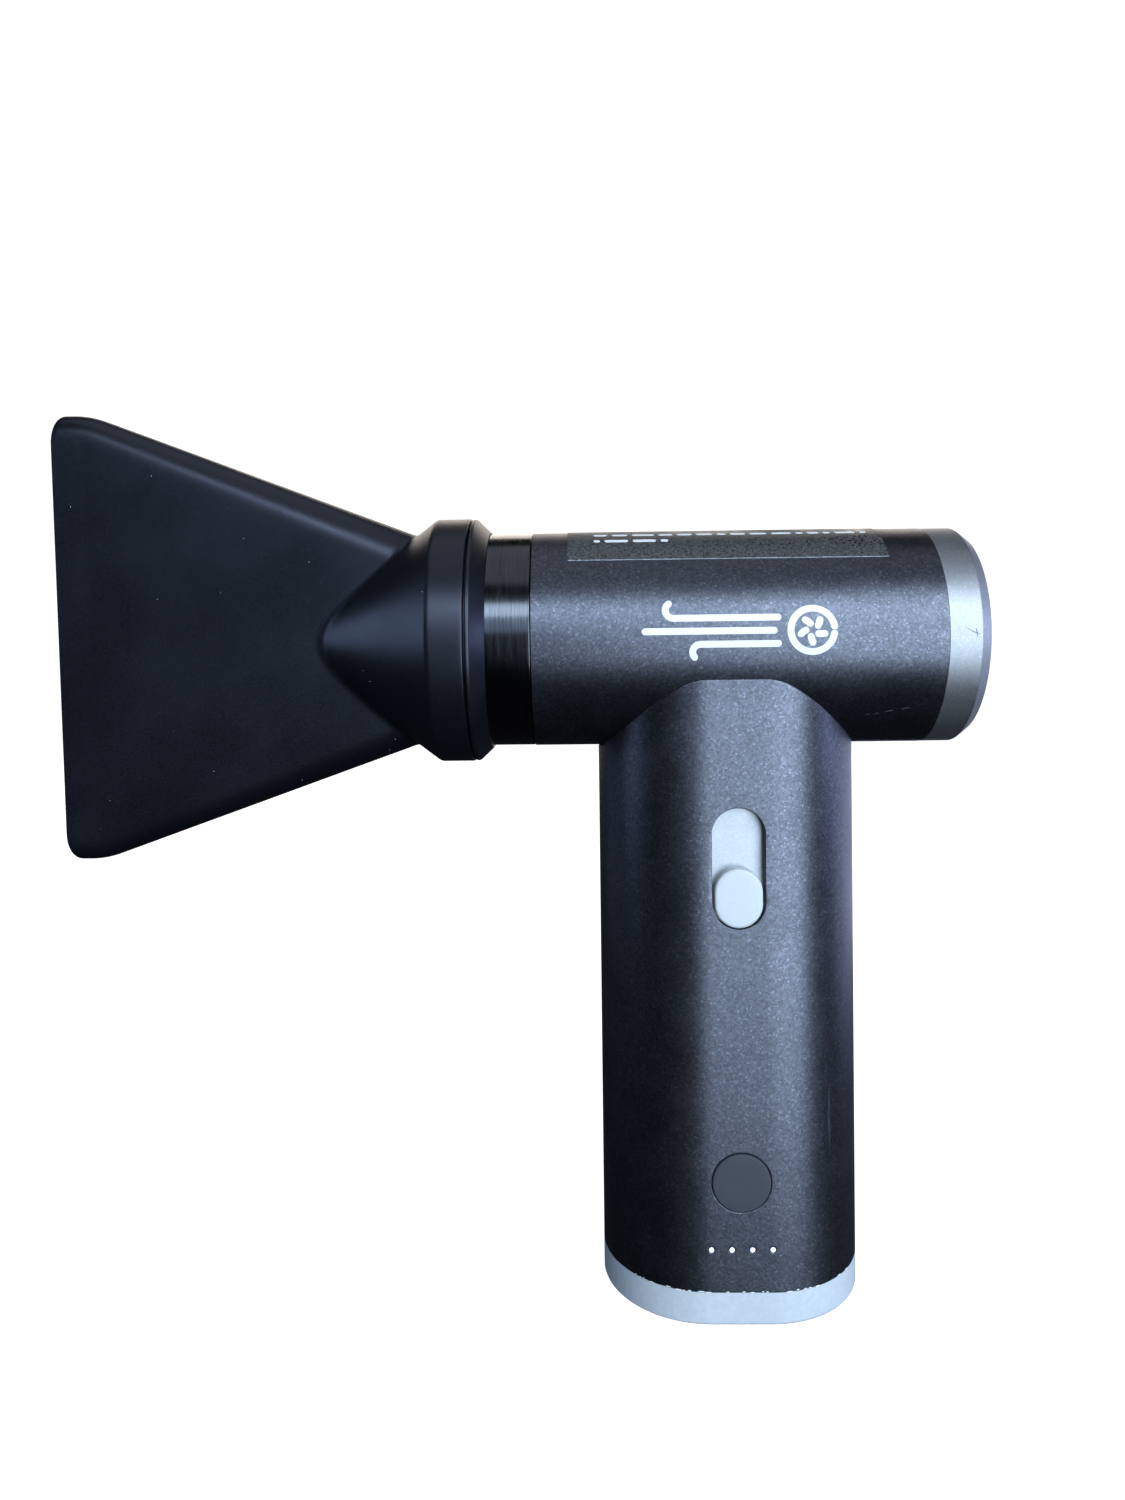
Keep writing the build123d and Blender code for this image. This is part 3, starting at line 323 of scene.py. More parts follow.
def guard(tree, size):
    """Concentric rings of one section, and spokes laid across them."""
    bar = add(tree, "GeometryNodeCurvePrimitiveQuadrilateral",
              {"Width": size["Depth"], "Height": size["Ring width"]})
    parts = []
    for number in range(3):
        radius = add(tree, "ShaderNodeMath", {0: size["Ring step"], 1: float(number)}, operation="MULTIPLY")
        reach = add(tree, "ShaderNodeMath", {0: size["First ring"], 1: radius.outputs[0]}, operation="ADD")
        ring = add(tree, "GeometryNodeCurvePrimitiveCircle", {"Resolution": 128,
                                                              "Radius": reach.outputs[0]})
        parts.append(add(tree, "GeometryNodeCurveToMesh",
                         {0: ring.outputs[0], 1: bar.outputs[0]}).outputs[0])
    spoke = add(tree, "GeometryNodeMeshCube", {"Size": (0.0, 0.0, 0.0), "Vertices X": 2})
    length = add(tree, "ShaderNodeCombineXYZ", {0: size["Spoke length"], 1: size["Spoke width"],
                                                2: size["Depth"]})
    tree.links.new(length.outputs[0], spoke.inputs["Size"])
    middle = add(tree, "ShaderNodeMath", {0: size["Spoke length"], 1: 0.5}, operation="MULTIPLY")
    start = add(tree, "ShaderNodeMath", {0: middle.outputs[0], 1: size["Boss radius"]}, operation="ADD")
    shift = add(tree, "ShaderNodeCombineXYZ", {0: start.outputs[0]})
    out = add(tree, "GeometryNodeTransform", {0: spoke.outputs[0], "Translation": shift.outputs[0]})
    hub = add(tree, "GeometryNodeMeshCircle", {"Vertices": size["Spokes"], "Radius": 0.00001})
    turn = add(tree, "ShaderNodeMath", {0: add(tree, "GeometryNodeInputIndex").outputs[0],
                                        1: 2 * math.pi / 8}, operation="MULTIPLY")
    facing = add(tree, "ShaderNodeCombineXYZ", {2: turn.outputs[0]})
    spokes = add(tree, "GeometryNodeInstanceOnPoints", {0: hub.outputs[0], "Instance": out.outputs[0],
                                                        "Rotation": facing.outputs[0]})
    joined = add(tree, "GeometryNodeJoinGeometry")
    for part in parts + [spokes.outputs[0]]:
        tree.links.new(part, joined.inputs[0])
    return joined.outputs[0]


def join(shape, part):
    """Adds the faces of one bmesh to another, and frees it."""
    plain = bpy.data.meshes.new("part")
    part.to_mesh(plain)
    part.free()
    shape.from_mesh(plain)


# Dull black nylon with a slightly coarser moulded texture than the nozzle's.
GUARD_BLACK = finish("moulded_black_nylon", ("#0f1013", "#17181c"), (0.45, 0.6), 0.4, 0.01, IOR=1.53)
bars = grown("intake_guard_bars", {"Depth": 2.0 * MM, "Ring width": 1.1 * MM,
             "First ring": 9.0 * MM, "Ring step": 3.6 * MM, "Spokes": 8, "Spoke width": 1.3 * MM,
             "Spoke length": 13.6 * MM, "Boss radius": 5.0 * MM}, guard, GUARD_BLACK)
GUARD_FACE = Matrix.Translation((46.45 * MM, 0, AXIS_Z)) @ Matrix.Rotation(math.pi / 2, 4, "Y")
bmesh.ops.transform(bars, matrix=GUARD_FACE, verts=bars.verts)
for outline in ([(45.4, 18.4), (45.4, 20.3), (47.5, 20.3), (47.5, 18.4)],
                [(45.4, 0.05), (45.4, 5.2), (47.5, 5.2), (47.5, 4.4), (47.1, 3.6), (46.8, 0.05)]):
    join(bars, turned(outline, 96))
new_piece("intake_guard_moulded", bars, GUARD_BLACK, "housing", "guard_black", "intake_grille", edge=0.15)


# --- Label and print on the barrel --------------------------------------------------------------
# A dark textured film with two rows of plain dashes, and a generic airflow mark, a fan roundel and
# streaks of air, both screen printed in white ink. Small scuffs and a scratch mark the metal.
BARREL_R = 23.0


def on_barrel(u, v, lift):
    """The place u mm along the barrel and v mm round it, up from the side that faces the front."""
    away = v / BARREL_R
    r = BARREL_R + lift
    return (u * MM, -r * MM * math.cos(away), AXIS_Z + r * MM * math.sin(away))


def strokes(paths, width, place, low, high, taper=False):
    """Closed ribbons with round ends along paths of (u, v) points, laid on a surface."""
    shape = bmesh.new()
    for path in paths:
        runs = [math.dist(a, b) for a, b in zip(path, path[1:])]
        total, half = sum(runs), width / 2
        steps = max(2, round(total / 0.45))
        tips = [half * (1 - math.cos(math.radians(a))) for a in range(0, 91, 15)]
        marks = sorted({min(total, max(0.0, s)) for s in tips + [total - tip for tip in tips]
                        + [total * i / steps for i in range(steps + 1)]})
        sections = []
        for s in marks:
            k, left = 0, s
            while k < len(runs) - 1 and left > runs[k]:
                left -= runs[k]
                k += 1
            (u0, v0), (u1, v1) = path[k], path[k + 1]
            t = left / runs[k]
            du, dv = (u1 - u0) / runs[k], (v1 - v0) / runs[k]
            near = min(s, total - s)
            wide = half if near >= half else math.sqrt(max(half ** 2 - (half - near) ** 2, 1e-5))
            if taper:
                wide *= 0.25 + 0.75 * math.sin(math.pi * s / total)
            u, v = u0 + (u1 - u0) * t, v0 + (v1 - v0) * t
            sections.append([shape.verts.new(place(u - dv * side * wide, v + du * side * wide, h))
                             for side, h in ((-1, low), (-1, high), (1, high), (1, low))])
        for a, b in zip(sections, sections[1:]):
            for i in range(4):
                shape.faces.new((a[i - 1], a[i], b[i], b[i - 1]))
        shape.faces.new(sections[0])
        shape.faces.new(sections[-1])
    return shape


def arc(u, v, radius, start, end):
    """Points along an arc between two angles in degrees."""
    steps = max(6, round(abs(end - start) / 9))
    return [(u + radius * math.cos(math.radians(start + (end - start) * i / steps)),
             v + radius * math.sin(math.radians(start + (end - start) * i / steps)))
            for i in range(steps + 1)]


FAN_U, FAN_V, FAN_R = 14.7, 0.9, 4.3
mark = [arc(FAN_U, FAN_V, FAN_R, 0, 359)]
for blade in range(5):
    swept = [(r, math.radians(72 * blade + 20 + 14 * r)) for r in (0.7, 1.2, 1.7, 2.2, 2.7, 3.0)]
    mark.append([(FAN_U + r * math.cos(lean), FAN_V + r * math.sin(lean)) for r, lean in swept])
mark.append([(8.6, 3.5), (-12.6, 3.5)] + arc(-12.6, 5.1, 1.6, 270, 100))
mark.append([(7.8, 0.9), (-18.9, 0.9)])
mark.append([(8.6, -1.7), (-7.4, -1.7)] + arc(-7.4, -3.2, 1.5, 90, 250))
# Screen ink: matt white.
PALE_INK = finish("white_screen_ink", ("#f0f2f4", "#f8f9fa"), (0.5, 0.6), 0.3, 0.004, IOR=1.5)
new_piece("airflow_mark", strokes(mark, 1.35, on_barrel, 0.005, 0.03), PALE_INK, "housing", "knob_pale")

# Film over dark print, mottled with glossy and dull flecks of about 0.5 mm.
LABEL_FILM = finish("textured_dark_label_film", ("#060608", "#5c5c5e"), (0.25, 0.7), 0.5, 0.03, IOR=1.58)
coat_nodes(LABEL_FILM, "label_film")
draw = random.Random(11)
dashes = []
for row, ends in ((27.6, (-28.0, 29.0)), (24.1, (-28.0, -12.5))):
    u = ends[0]
    while u < ends[1] - 0.8:
        word = min(draw.uniform(1.2, 5.0), ends[1] - u)
        dashes.append([(u, row), (u + word, row)])
        u += word + 0.9
new_piece("label_dashes", strokes(dashes, 1.2, on_barrel, 0.13, 0.16), PALE_INK, "housing", "film_dark")
# A thin pale ribbon along the cut edge of the film is a painted highlight, standing in for the light that
# the edge catches.
LABEL_EDGE_HIGHLIGHT = finish("painted_highlight_on_film_edge", ("#8a9098", "#b8bfc8"), (0.25, 0.4), 0.8, 0.0, IOR=1.58)
new_piece("label_edge", strokes([[(-33.3, 17.15), (31.4, 17.15)]], 0.14, on_barrel, 0.02, 0.15),
          LABEL_EDGE_HIGHLIGHT, "housing", "film_dark")
# Scuffs through the black skin show bare grey metal; the hair scratch on the silver ring is dark.
BARE = finish("scuffed_bare_aluminium", ("#8d9097", "#b9bcc2"), (0.3, 0.5), 0.4, 0.0, metal=1.0)
scuffs = [[(26.4, -18.2), (27.6, -17.9)], [(30.2, -17.4), (32.0, -16.9)], [(33.4, -16.6), (35.2, -16.2)],
          [(28.2, -18.0), (29.4, -17.7)]]
new_piece("barrel_scuffs", strokes(scuffs, 0.3, on_barrel, 0.004, 0.02, taper=True), BARE, "housing",
          "shell_anodised")
hair = [[(44.6, 1.0), (46.2, 0.1), (47.6, -0.4)], [(46.6, 0.9), (46.9, -0.9)]]
DARK_HAIR = finish("dark_scratch", ("#33363c", "#4a4e55"), (0.5, 0.6), 0.4, 0.0)
new_piece("ring_scratch", strokes(hair, 0.12, on_barrel, -0.05, 0.0, taper=True), DARK_HAIR, "housing",
          "ring_silver")


# --- Handle shell -------------------------------------------------------------------------------
# Obround aluminium extrusion in the same black finish. Its top is cut to the barrel's round, and its
# face is milled for the slide switch, the button and four lights; every cut edge is slightly eased.
HALF_L, ROUND, WALL, CAP_TOP = 27.25, 21.3, 1.8, 6.7
SLOT_Z, BUTTON_Z, LIGHTS_Z, LIGHT_PITCH, PORT_Z = 91.9, 28.9, 15.4, 4.1, 10.8
FLAT = HALF_L - ROUND
QUARTER = math.pi / 2 * ROUND
GIRTH = 4 * QUARTER + 4 * FLAT
FRONT_MIDDLE, BACK_MIDDLE = QUARTER + FLAT, 3 * QUARTER + 3 * FLAT


def on_handle(s, z, depth):
    """The place s mm round the handle from its left side, z mm up and depth mm below its skin."""
    r = ROUND - depth
    if s < QUARTER:
        a = s / ROUND
        x, y = -FLAT - r * math.cos(a), -r * math.sin(a)
    elif s < QUARTER + 2 * FLAT:
        x, y = s - FRONT_MIDDLE, -r
    elif s < 3 * QUARTER + 2 * FLAT:
        a = (s - QUARTER - 2 * FLAT) / ROUND
        x, y = FLAT + r * math.sin(a), -r * math.cos(a)
    elif s < 3 * QUARTER + 4 * FLAT:
        x, y = BACK_MIDDLE - s, r
    else:
        a = (s - 3 * QUARTER - 4 * FLAT) / ROUND
        x, y = -FLAT - r * math.sin(a), r * math.cos(a)
    return (x * MM, y * MM, z * MM)


def cope(s):
    """The height in mm at which the shell meets the barrel, s mm round the handle."""
    y = on_handle(s, 0, 0)[1] / MM
    return AXIS - math.sqrt(BARREL_R ** 2 - y * y)


def rounded_slot(s, z, flat_s, flat_z, radius, steps):
    """Points round an obround hole, each with its direction out into the metal."""
    hole = []
    for i in range(steps):
        a = 2 * math.pi * (i + 0.5) / steps
        c, n = math.cos(a), math.sin(a)
        hole.append(((s + radius * c + math.copysign(flat_s, c),
                      z + radius * n + math.copysign(flat_z, n)), (c, n)))
    return hole


def inside(point, outline):
    """True if a 2-D point is inside a closed outline."""
    hit = False
    for (x0, y0), (x1, y1) in zip(outline, outline[1:] + outline[:1]):
        if (y0 > point[1]) != (y1 > point[1]):
            if point[0] < x0 + (point[1] - y0) * (x1 - x0) / (y1 - y0):
                hit = not hit
    return hit


def handle_sheet():
    """The shell laid out flat with its holes, wrapped into two skins and closed by eased rims."""
    edge, mill = 0.18, 0.15
    rims = [(rounded_slot(FRONT_MIDDLE, SLOT_Z, 0, 6.8, 5.3, 72), mill),
            (rounded_slot(FRONT_MIDDLE, BUTTON_Z, 0, 0, 6.05, 96), 0.07),
            (rounded_slot(BACK_MIDDLE, PORT_Z, 2.85, 0, 1.75, 48), 0.2)]
    rims += [(rounded_slot(FRONT_MIDDLE + n * LIGHT_PITCH, LIGHTS_Z, 0, 0, 0.72, 24), 0.08)
             for n in (-1.5, -0.5, 0.5, 1.5)]
    columns = round(GIRTH / 1.15)
    sides = [GIRTH * i / columns for i in range(columns + 1)]
    rims.append(([((s, CAP_TOP), (0, 1)) for s in sides], edge))
    top = []
    for s in sides:
        slope = (cope(min(GIRTH, s + 0.05)) - cope(max(0, s - 0.05))) / 0.1 if 0 < s < GIRTH else 0.0
        top.append(((s, cope(s)), (slope / math.hypot(1, slope), -1 / math.hypot(1, slope))))
    rims.append((top, edge))
    flat, joins, holes, rim_keys, borders = [], [], [], [], []
    for rim, ease in rims:
        start = len(flat)
        flat += [(q[0] + ease * n[0], q[1] + ease * n[1]) for q, n in rim]
        loop = list(range(start, len(flat)))
        rim_keys.append(loop)
        joins += list(zip(loop, loop[1:]))
        borders += [(q[0] + (ease + 0.16) * n[0], q[1] + (ease + 0.16) * n[1]) for q, n in rim]
        if len(rim_keys) <= len(rims) - 2:
            joins.append((loop[-1], loop[0]))
            holes.append([flat[k] for k in loop])
    rows = [10.0 + 2.6 * i for i in range(41)]
    for s_i, s in enumerate(sides):
        last = None
        for z in rows:
            if z > cope(s) - 1.2:
                break
            near = any(abs(s - hole[0][0]) < 12 and min(math.dist((s, z), p) for p in hole) < 0.55
                       for hole in holes)
            if near or any(inside((s, z), hole) for hole in holes):
                continue
            flat.append((s, z))
            if s_i in (0, columns):
                joins.append((last if last is not None else rim_keys[-2][s_i], len(flat) - 1))
                last = len(flat) - 1
        if s_i in (0, columns):
            joins.append((last, rim_keys[-1][s_i]))
    found = delaunay_2d_cdt([Vector(p) for p in flat + borders], joins, [], 0, 1e-6)
    place, faces, came = found[0], found[2], found[3]
    key = {old: new for new, olds in enumerate(came) for old in olds}
    shape = bmesh.new()
    outer = [shape.verts.new(on_handle(p.x, p.y, 0)) for p in place]
    inner = [shape.verts.new(on_handle(p.x, p.y, WALL)) for p in place]
    for face in faces:
        mid = sum((place[k] for k in face), Vector((0, 0))) / len(face)
        if mid.y > cope(min(max(mid.x, 0), GIRTH)) - edge * 0.4 or any(inside(mid, h) for h in holes):
            continue
        shape.faces.new([outer[k] for k in face])
        shape.faces.new([inner[k] for k in reversed(face)])
    for (rim, ease), loop in zip(rims, rim_keys):
        rings = [[outer[key[k]] for k in loop]]
        for a in (30, 60, 90):
            out, down = ease * (1 - math.sin(math.radians(a))), ease * (1 - math.cos(math.radians(a)))
            rings.append([shape.verts.new(on_handle(q[0] + out * n[0], q[1] + out * n[1], down))
                          for q, n in rim])
        rings.append([shape.verts.new(on_handle(q[0], q[1], WALL)) for q, n in rim])
        rings.append([inner[key[k]] for k in loop])
        first = 1 if loop in rim_keys[-2:] else 0
        for near, far in zip(rings, rings[1:]):
            for i in range(first, len(loop)):
                shape.faces.new((near[i - 1], near[i], far[i], far[i - 1]))
    bmesh.ops.remove_doubles(shape, verts=shape.verts, dist=1e-6)
    return shape


new_piece("handle_shell_extruded", handle_sheet(), BLACK_ANODISED, "housing", "shell_anodised",
          "handle_shell")


def on_skin(s, z, lift):
    """The place s mm round the handle, z mm up and lift mm outside its skin."""
    return on_handle(s, z, -lift)


# A faint upright painted highlight on the right of the handle: a streak only a little lighter than the skin
# round it.
painted_highlight_streak = [[(FRONT_MIDDLE + 19.4, 47.5), (FRONT_MIDDLE + 19.2, 40.0), (FRONT_MIDDLE + 19.5, 33.0)]]
STREAK_HIGHLIGHT = finish("painted_highlight_on_anodising", ("#6a6c74", "#7a7c84"), (0.36, 0.46), 0.5, 0.0, metal=1.0)
new_piece("handle_rub_mark", strokes(painted_highlight_streak, 0.7, on_skin, 0.003, 0.012, taper=True), STREAK_HIGHLIGHT, "housing",
          "shell_anodised")


# --- Base ---------------------------------------------------------------------------------------
# Moulded cap in pale blue-grey paint, fixed from below by two countersunk screws. The paint is chipped
# along the line where it meets the shell, and the chips are uneven pale flecks.
# Satin paint, smooth but for a little orange peel of about 1.2 mm.
BASE_PAINT = finish("pale_blue_grey_satin_paint", ("#c0c7cf", "#c9cfd6"), (0.34, 0.44), 1.2, 0.006,
                    IOR=1.5)
coat_nodes(BASE_PAINT, "bottom_cap")
draw = random.Random(5)
chips = []
s = FRONT_MIDDLE - 27.0
while s < FRONT_MIDDLE + 27.0:
    long = draw.uniform(0.25, 1.6)
    if draw.random() < 0.66:
        high = CAP_TOP + draw.uniform(0.02, 0.22)
        chips.append([(s, high), (s + long * 0.5, high + draw.uniform(-0.06, 0.1)), (s + long, high)])
    s += long + draw.uniform(0.0, 0.9)
CHIPPED = finish("chipped_paint_edge", ("#dfe6ee", "#f3f6fa"), (0.5, 0.7), 0.3, 0.02, IOR=1.5)
new_piece("base_paint_chips", strokes(chips, 0.24, on_skin, 0.004, 0.03, taper=True), CHIPPED, "housing",
          "base_paint")
coat_nodes(finish("zinc_plated_screw_steel", ("#8f9296", "#a9acb0"), (0.3, 0.45), 0.3, 0.004, metal=1.0),
           "cap_screws", "saddle_screws", "frame_screws", "board_screws")


# --- Slide switch -------------------------------------------------------------------------------
# A silver plate fills the milled slot and slides behind it; a pale oval knob clipped to the plate is
# pushed by the thumb. The plate has a fine satin grain, and the knob is smooth and a little domed.
def oval_stack(centre_z, flat_z, radius, levels, steps=96):
    """An upright oval stack on the front face: levels of (inset, y) in mm, closed at both ends."""
    shape = bmesh.new()
    rings = []
    for inset, y in levels:
        r = max(radius - inset, 0.02)
        grow = flat_z if inset <= radius else 0.0
        ring = []
        for i in range(steps):
            a = 2 * math.pi * (i + 0.5) / steps
            high = centre_z + r * math.sin(a) + math.copysign(grow, math.sin(a))
            ring.append(shape.verts.new((r * math.cos(a) * MM, y * MM, high * MM)))
        rings.append(ring)
    for near, far in zip(rings, rings[1:]):
        for i in range(steps):
            shape.faces.new((near[i - 1], near[i], far[i], far[i - 1]))
    shape.faces.new(rings[0])
    shape.faces.new(rings[-1])
    return shape


def eased_levels(back, face, ease, crown, radius):
    """Levels from the back edge to a rounded and slightly crowned face; y falls towards the front."""
    levels = [(0.0, back), (0.0, face + ease)]
    levels += [(ease * (1 - math.cos(math.radians(a))), face + ease * (1 - math.sin(math.radians(a))))
               for a in (15, 30, 45, 60, 75, 90)]
    levels += [(ease + (radius - ease) * t, face - crown * (1 - (1 - t) ** 2))
               for t in (0.2, 0.45, 0.7, 0.9)]
    return levels


SATIN_SILVER = blasted("satin_silver_slide_plate", "#a7aaaf", "#afb2b7", "#bcc0c6", (0.4, 0.5), 0.24)
coat_nodes(SATIN_SILVER, "slide_plate")
KNOB_WHITE = finish("pale_moulded_knob", ("#cbcfd4", "#d1d4d9"), (0.35, 0.45), 0.6, 0.003, IOR=1.5)
new_piece("slide_knob_domed", oval_stack(85.95, 1.15, 4.85, eased_levels(-18.6, -21.32, 0.6, 0.06, 4.85)),
          KNOB_WHITE, "slider", "knob_pale", "slide_knob")


# --- Power button and charge lights -------------------------------------------------------------
# A soft-touch grey button stands just proud of its hole, with a shadow gap round it. Under it four
# clear tips of the light pipe shine cool white, brighter in the middle than at the rim.
BUTTON_GREY = finish("soft_touch_grey_button", ("#31353d", "#383c45"), (0.55, 0.65), 0.25, 0.01, IOR=1.5)
face = [(0.0, -19.1), (0.0, -21.35)]
face += [(0.35 * (1 - math.cos(math.radians(a))), -21.35 - 0.35 * math.sin(math.radians(a)))
         for a in (15, 30, 45, 60, 75, 90)]
face += [(2.5, -21.68), (4.5, -21.66), (5.6, -21.65)]
button = oval_stack(BUTTON_Z, 0.0, 5.9, face)
for low, high, r in ((-19.3, -18.5, 7.2), (-18.6, -16.9, 2.0)):
    join(button, oval_stack(BUTTON_Z, 0.0, r, [(0.0, low), (0.0, high)], 64))
new_piece("power_button_soft", button, BUTTON_GREY, "button", "button_grey", "power_button")

CLEAR_ACRYLIC = finish("clear_acrylic_light_pipe", ("#e2e9f5", "#f2f6fc"), (0.08, 0.16), 0.6, 0.0,
                       IOR=1.49, Transmission_Weight=0.9)
coat_nodes(CLEAR_ACRYLIC, "light_pipe")


def light_tips(tree, size):
    """A row of small domes, one on each point of a line."""
    row = add(tree, "GeometryNodeMeshLine", {"Count": size["Tips"]})
    pitch = add(tree, "ShaderNodeCombineXYZ", {0: size["Pitch"]})
    tree.links.new(pitch.outputs[0], row.inputs["Offset"])
    dome = add(tree, "GeometryNodeMeshUVSphere", {"Segments": 24, "Rings": 12, "Radius": size["Radius"]})
    squashed = add(tree, "GeometryNodeTransform", {0: dome.outputs[0], "Scale": (1.0, 0.35, 1.0)})
    return add(tree, "GeometryNodeInstanceOnPoints", {0: row.outputs[0],
                                                      "Instance": squashed.outputs[0]}).outputs[0]


LIT, tree = new_material("lit_white_led")
place = add(tree, "ShaderNodeTexCoord")
spots = add(tree, "ShaderNodeTexNoise", {"Vector": place.outputs["Object"], "Scale": 1000 / 0.7,
                                          "Detail": 2.0})
glow = add(tree, "ShaderNodeValToRGB", {"Fac": spots.outputs["Fac"]},
           stops=[(0.38, linear("#5f7fd0")), (0.56, linear("#f4f8ff"))])
shader = add(tree, "ShaderNodeBsdfPrincipled", {
    "Base Color": linear("#dfe8ff"), "Roughness": 0.3, "Emission Color": glow.outputs[0],
    "Emission Strength": 1.3})
add(tree, "ShaderNodeOutputMaterial", {"Surface": shader.outputs[0]})
tips = grown("light_tips", {"Tips": 4, "Pitch": LIGHT_PITCH * MM, "Radius": 0.5 * MM}, light_tips, LIT)
bmesh.ops.translate(tips, verts=tips.verts, vec=(-6.15 * MM, -ROUND * MM, LIGHTS_Z * MM))
new_piece("charge_light_tips", tips, LIT, "housing", "led_white")


# --- Nozzle -------------------------------------------------------------------------------------
# Blow-moulded black fan nozzle: a round collar, a cone that runs out into a flat fan, and an open
# mouth. The fan's long edges are broadly rounded, and the cone meets it in a tight crease.
TURN, LEAN = math.radians(3.8), math.radians(0.7)
NECK, MOUTH, MOUTH_ROUND = -58.0, 84.9, 1.7
CONE_X, CONE_R, FALL, COLLAR_R, BORE_R, CONE_WALL = -62.0, 25.7, 0.75, 26.3, 24.6, 2.3


def eased_min(a, b, soft):
    """The lesser of two values, blended where they are closer than soft."""
    h = np.clip(0.5 + 0.5 * (b - a) / soft, 0, 1)
    return b + (a - b) * h - soft * h * (1 - h)


def ramp(d, start, end):
    """A straight run between two (d, value) points, held level beyond them."""
    return start[1] + (end[1] - start[1]) * np.clip((d - start[0]) / (end[0] - start[0]), 0, 1)


def nozzle_gap(x, y, z, wall):
    """How far points in mm about the barrel's axis are outside the skin, which wall draws in."""
    d = (NECK - x) * math.cos(LEAN) + z * math.sin(LEAN)
    across = z * math.cos(LEAN) - (NECK - x) * math.sin(LEAN)
    u = y * math.cos(TURN) + across * math.sin(TURN)
    v = -y * math.sin(TURN) + across * math.cos(TURN)
    high = eased_min(20.4 + 0.36793 * (d - 2.0), np.full_like(d, 48.4), 1.2)
    near_end = np.clip(d - (MOUTH - MOUTH_ROUND), 0, MOUTH_ROUND - 0.001)
    high = high - (MOUTH_ROUND - np.sqrt(MOUTH_ROUND ** 2 - near_end ** 2)) - wall
    deep = ramp(d, (2.0, 8.3), (78.1, 6.5)) - wall
    corner = ramp(d, (2.0, 7.8), (78.1, 5.0)) - wall * 0.8
    qu, qv = np.abs(u) - deep + corner, np.abs(v) - high + corner
    slab = np.hypot(np.maximum(qu, 0), np.maximum(qv, 0)) + np.minimum(np.maximum(qu, qv), 0) - corner
    rear = 0.3 - np.sqrt(0.09 - (0.3 - np.clip(-54.0 - x, 0, 0.3)) ** 2)
    if wall:
        cone = eased_min(np.full_like(x, BORE_R), CONE_R - CONE_WALL - FALL * (CONE_X - x), 0.6)
        cone = np.where(x > -61.9, BORE_R, cone)
    else:
        bead = 0.13 * np.exp(-((x + 61.5) / 0.28) ** 2)
        cone = eased_min(COLLAR_R - rear + bead, CONE_R - FALL * (CONE_X - x), 0.5)
    away = (np.hypot(y, z) - cone) * 0.8
    return eased_min(slab, away, 0.8)


def nozzle_rings(stations, wall, steps=288):
    """Rings of points on the skin, one for each station along the barrel's axis."""
    t = 2 * np.pi * np.arange(steps) / steps
    rings = []
    for x in stations:
        w = np.clip((CONE_X - x) / 33.0, 0, 1)
        w = w * w * (3 - 2 * w)
        flat = 1 - w * (1 - 0.16)
        u, v = flat * np.sin(t), np.cos(t)
        size = np.hypot(u, v)
        away_y = (u * math.cos(TURN) - v * math.sin(TURN)) / size
        away_z = (u * math.sin(TURN) + v * math.cos(TURN)) / size
        low, high = np.full(steps, 0.5), np.full(steps, 60.0)
        for _ in range(34):
            r = (low + high) / 2
            px = x + w * r * away_z * math.tan(LEAN)
            out = nozzle_gap(px, r * away_y, r * away_z, wall) > 0
            high, low = np.where(out, r, high), np.where(out, low, r)
        rings.append(np.stack([x + w * r * away_z * math.tan(LEAN), r * away_y, r * away_z], 1))
    return rings


def nozzle_shape():
    """The nozzle's outer skin and its bore, closed by the rims of the collar and the mouth."""
    end = NECK - MOUTH / math.cos(LEAN)
    outer = [-54.0, -54.04, -54.1, -54.2, -54.35] + list(np.arange(-55.0, -60.0, -1.0))
    outer += list(np.arange(-60.2, -63.2, -0.2)) + list(np.arange(-63.8, -92.0, -0.6))
    outer += list(np.arange(-92.8, end + 8.5, -1.25)) + list(np.arange(end + 8.0, end + 3.6, -0.7))
    outer += [end + MOUTH_ROUND * (1 - math.sin(math.radians(a))) for a in range(0, 86, 5)] + [end + 0.004]
    inner = [-54.0] + list(np.arange(-56.0, -61.0, -1.5)) + [-61.85, -61.95]
    inner += list(np.arange(-62.4, -90.0, -1.1)) + list(np.arange(-92.0, end + 5.0, -2.2))
    inner += [end + 3.4, end + 2.4, end + 1.6, end + 1.0, end + 0.5, end + 0.004]
    rings = nozzle_rings(outer, 0.0) + nozzle_rings(inner, 1.8)[::-1]
    shape = bmesh.new()
    made = [[shape.verts.new((p[0] * MM, p[1] * MM, AXIS_Z + p[2] * MM)) for p in ring]
            for ring in rings]
    for near, far in zip(made, made[1:] + made[:1]):
        for i in range(len(near)):
            shape.faces.new((near[i - 1], near[i], far[i], far[i - 1]))
    return shape


new_piece("nozzle_blow_moulded", nozzle_shape(), BLACK_ABS, "nozzle", "nozzle_black", "nozzle_body")


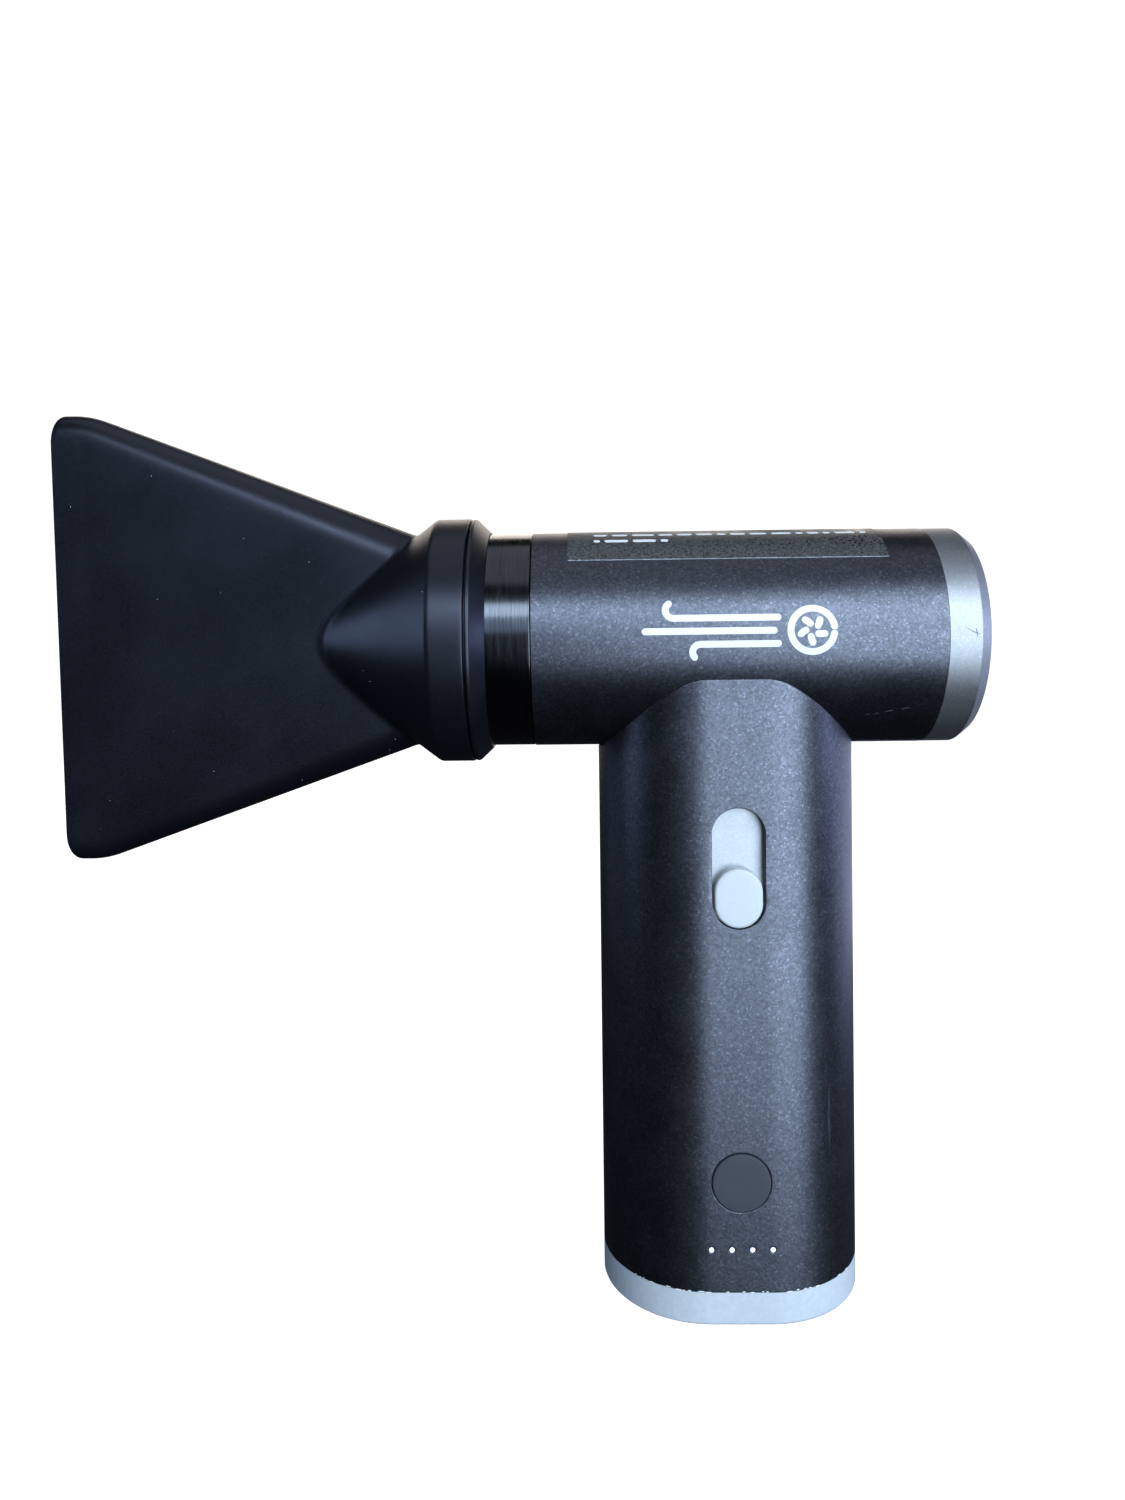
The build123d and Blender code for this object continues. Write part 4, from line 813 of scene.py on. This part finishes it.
def specks(tree, size):
    """Flakes of dust scattered over the nozzle's skin, each turned and sized at random."""
    skin = add(tree, "GeometryNodeObjectInfo", {"Object": bpy.data.objects["nozzle_blow_moulded"]},
               transform_space="RELATIVE")
    spots = add(tree, "GeometryNodeDistributePointsOnFaces", {
        "Mesh": skin.outputs["Geometry"], "Density": size["Flakes per square metre"], "Seed": size["Seed"]})
    flake = add(tree, "GeometryNodeMeshIcoSphere", {"Radius": size["Radius"], "Subdivisions": 1})
    turn = add(tree, "FunctionNodeRandomValue", {0: (0.0, 0.0, 0.0), 1: (6.3, 6.3, 6.3),
                                                 "Seed": size["Seed"]}, data_type="FLOAT_VECTOR")
    grow = add(tree, "FunctionNodeRandomValue", {0: (0.3, 0.3, 0.2), 1: (1.3, 0.7, 0.4),
                                                 "Seed": size["Seed"]}, data_type="FLOAT_VECTOR")
    return add(tree, "GeometryNodeInstanceOnPoints", {
        0: spots.outputs["Points"], "Instance": flake.outputs[0], "Rotation": turn.outputs[0],
        "Scale": grow.outputs[0]}).outputs[0]


DUST = finish("pale_dust", ("#b9bcc2", "#dfe2e6"), (0.8, 0.95), 0.2, 0.0)
dust = grown("nozzle_dust", {"Flakes per square metre": 2600.0, "Seed": 4, "Radius": 0.14 * MM},
             specks, DUST)
new_piece("nozzle_dust_flakes", dust, DUST, "nozzle", "nozzle_black")


# --- Inside -------------------------------------------------------------------------------------
# Fan, motor, cells and boards, seen only through the openings or with the shell hidden. Each packed
# node keeps its shape and gets the finish of its real material.
INSIDE = {
    "ivory_glass_filled_nylon": (("#c9cac6", "#d6d7d3"), (0.4, 0.5), 0.5, 0.01, (1, 1, 1), 0.0, "impeller"),
    "grey_glass_filled_nylon": (("#54585e", "#62666c"), (0.45, 0.6), 0.5, 0.01, (1, 1, 1), 0.0,
                                "fan_duct tail_cone"),
    "black_glass_filled_nylon": (("#1a1b1d", "#242528"), (0.5, 0.6), 0.5, 0.01, (1, 1, 1), 0.0,
                                 "inner_frame saddle_bracket slide_guide button_guide pin_headers "
                                 "pot_lever"),
    "zinc_plated_motor_steel": (("#8d9096", "#a2a5ab"), (0.3, 0.42), 0.3, 0.005, (0.1, 1, 1), 1.0,
                                "motor_can motor_end_cap stator_core usb_c_socket"),
    "ground_bearing_steel": (("#b4b6ba", "#c6c8cc"), (0.15, 0.25), 0.2, 0.001, (1, 0.1, 0.1), 1.0,
                             "motor_shaft intake_bearing outlet_bearing impeller_nut"),
    "enamelled_copper_wire": (("#8a3f1c", "#b8652f"), (0.25, 0.4), 0.4, 0.05, (0.2, 1, 1), 1.0,
                              "motor_windings"),
    "nickel_plate": (("#a5a39b", "#b9b7af"), (0.25, 0.4), 0.6, 0.005, (1, 1, 1), 1.0,
                     "rotor_magnet nickel_strips"),
    "silicone_lead": (("#1f2023", "#2b2c30"), (0.45, 0.55), 0.6, 0.01, (1, 1, 1), 0.0, "motor_leads"),
    "red_silicone_lead": (("#8f1f1a", "#a82a22"), (0.45, 0.55), 0.6, 0.01, (1, 1, 1), 0.0, "battery_leads"),
    "blue_cell_wrap": (("#27527d", "#2f6090"), (0.3, 0.4), 2.0, 0.02, (1, 1, 0.3), 0.0,
                       "battery_cell_left battery_cell_right"),
    "black_capacitor_sleeve": (("#17181b", "#232428"), (0.3, 0.4), 1.0, 0.01, (1, 1, 1), 0.0,
                               "filter_capacitor"),
    "green_solder_mask": (("#0e4a2c", "#156039"), (0.25, 0.35), 0.8, 0.02, (1, 1, 1), 0.0,
                          "driver_board control_board charge_board"),
    "black_epoxy_package": (("#151517", "#1e1e21"), (0.5, 0.6), 0.2, 0.01, (1, 1, 1), 0.0,
                            "mosfets control_chip slide_pot tact_switch tact_plunger"),
    "white_led_package": (("#e6e6dc", "#f2f2ea"), (0.3, 0.4), 0.3, 0.005, (1, 1, 1), 0.0, "charge_leds"),
}
for name, (colours, rough, grain, relief, stretch, metal, nodes) in INSIDE.items():
    coat_nodes(finish(name, colours, rough, grain, relief, stretch, metal), *nodes.split())
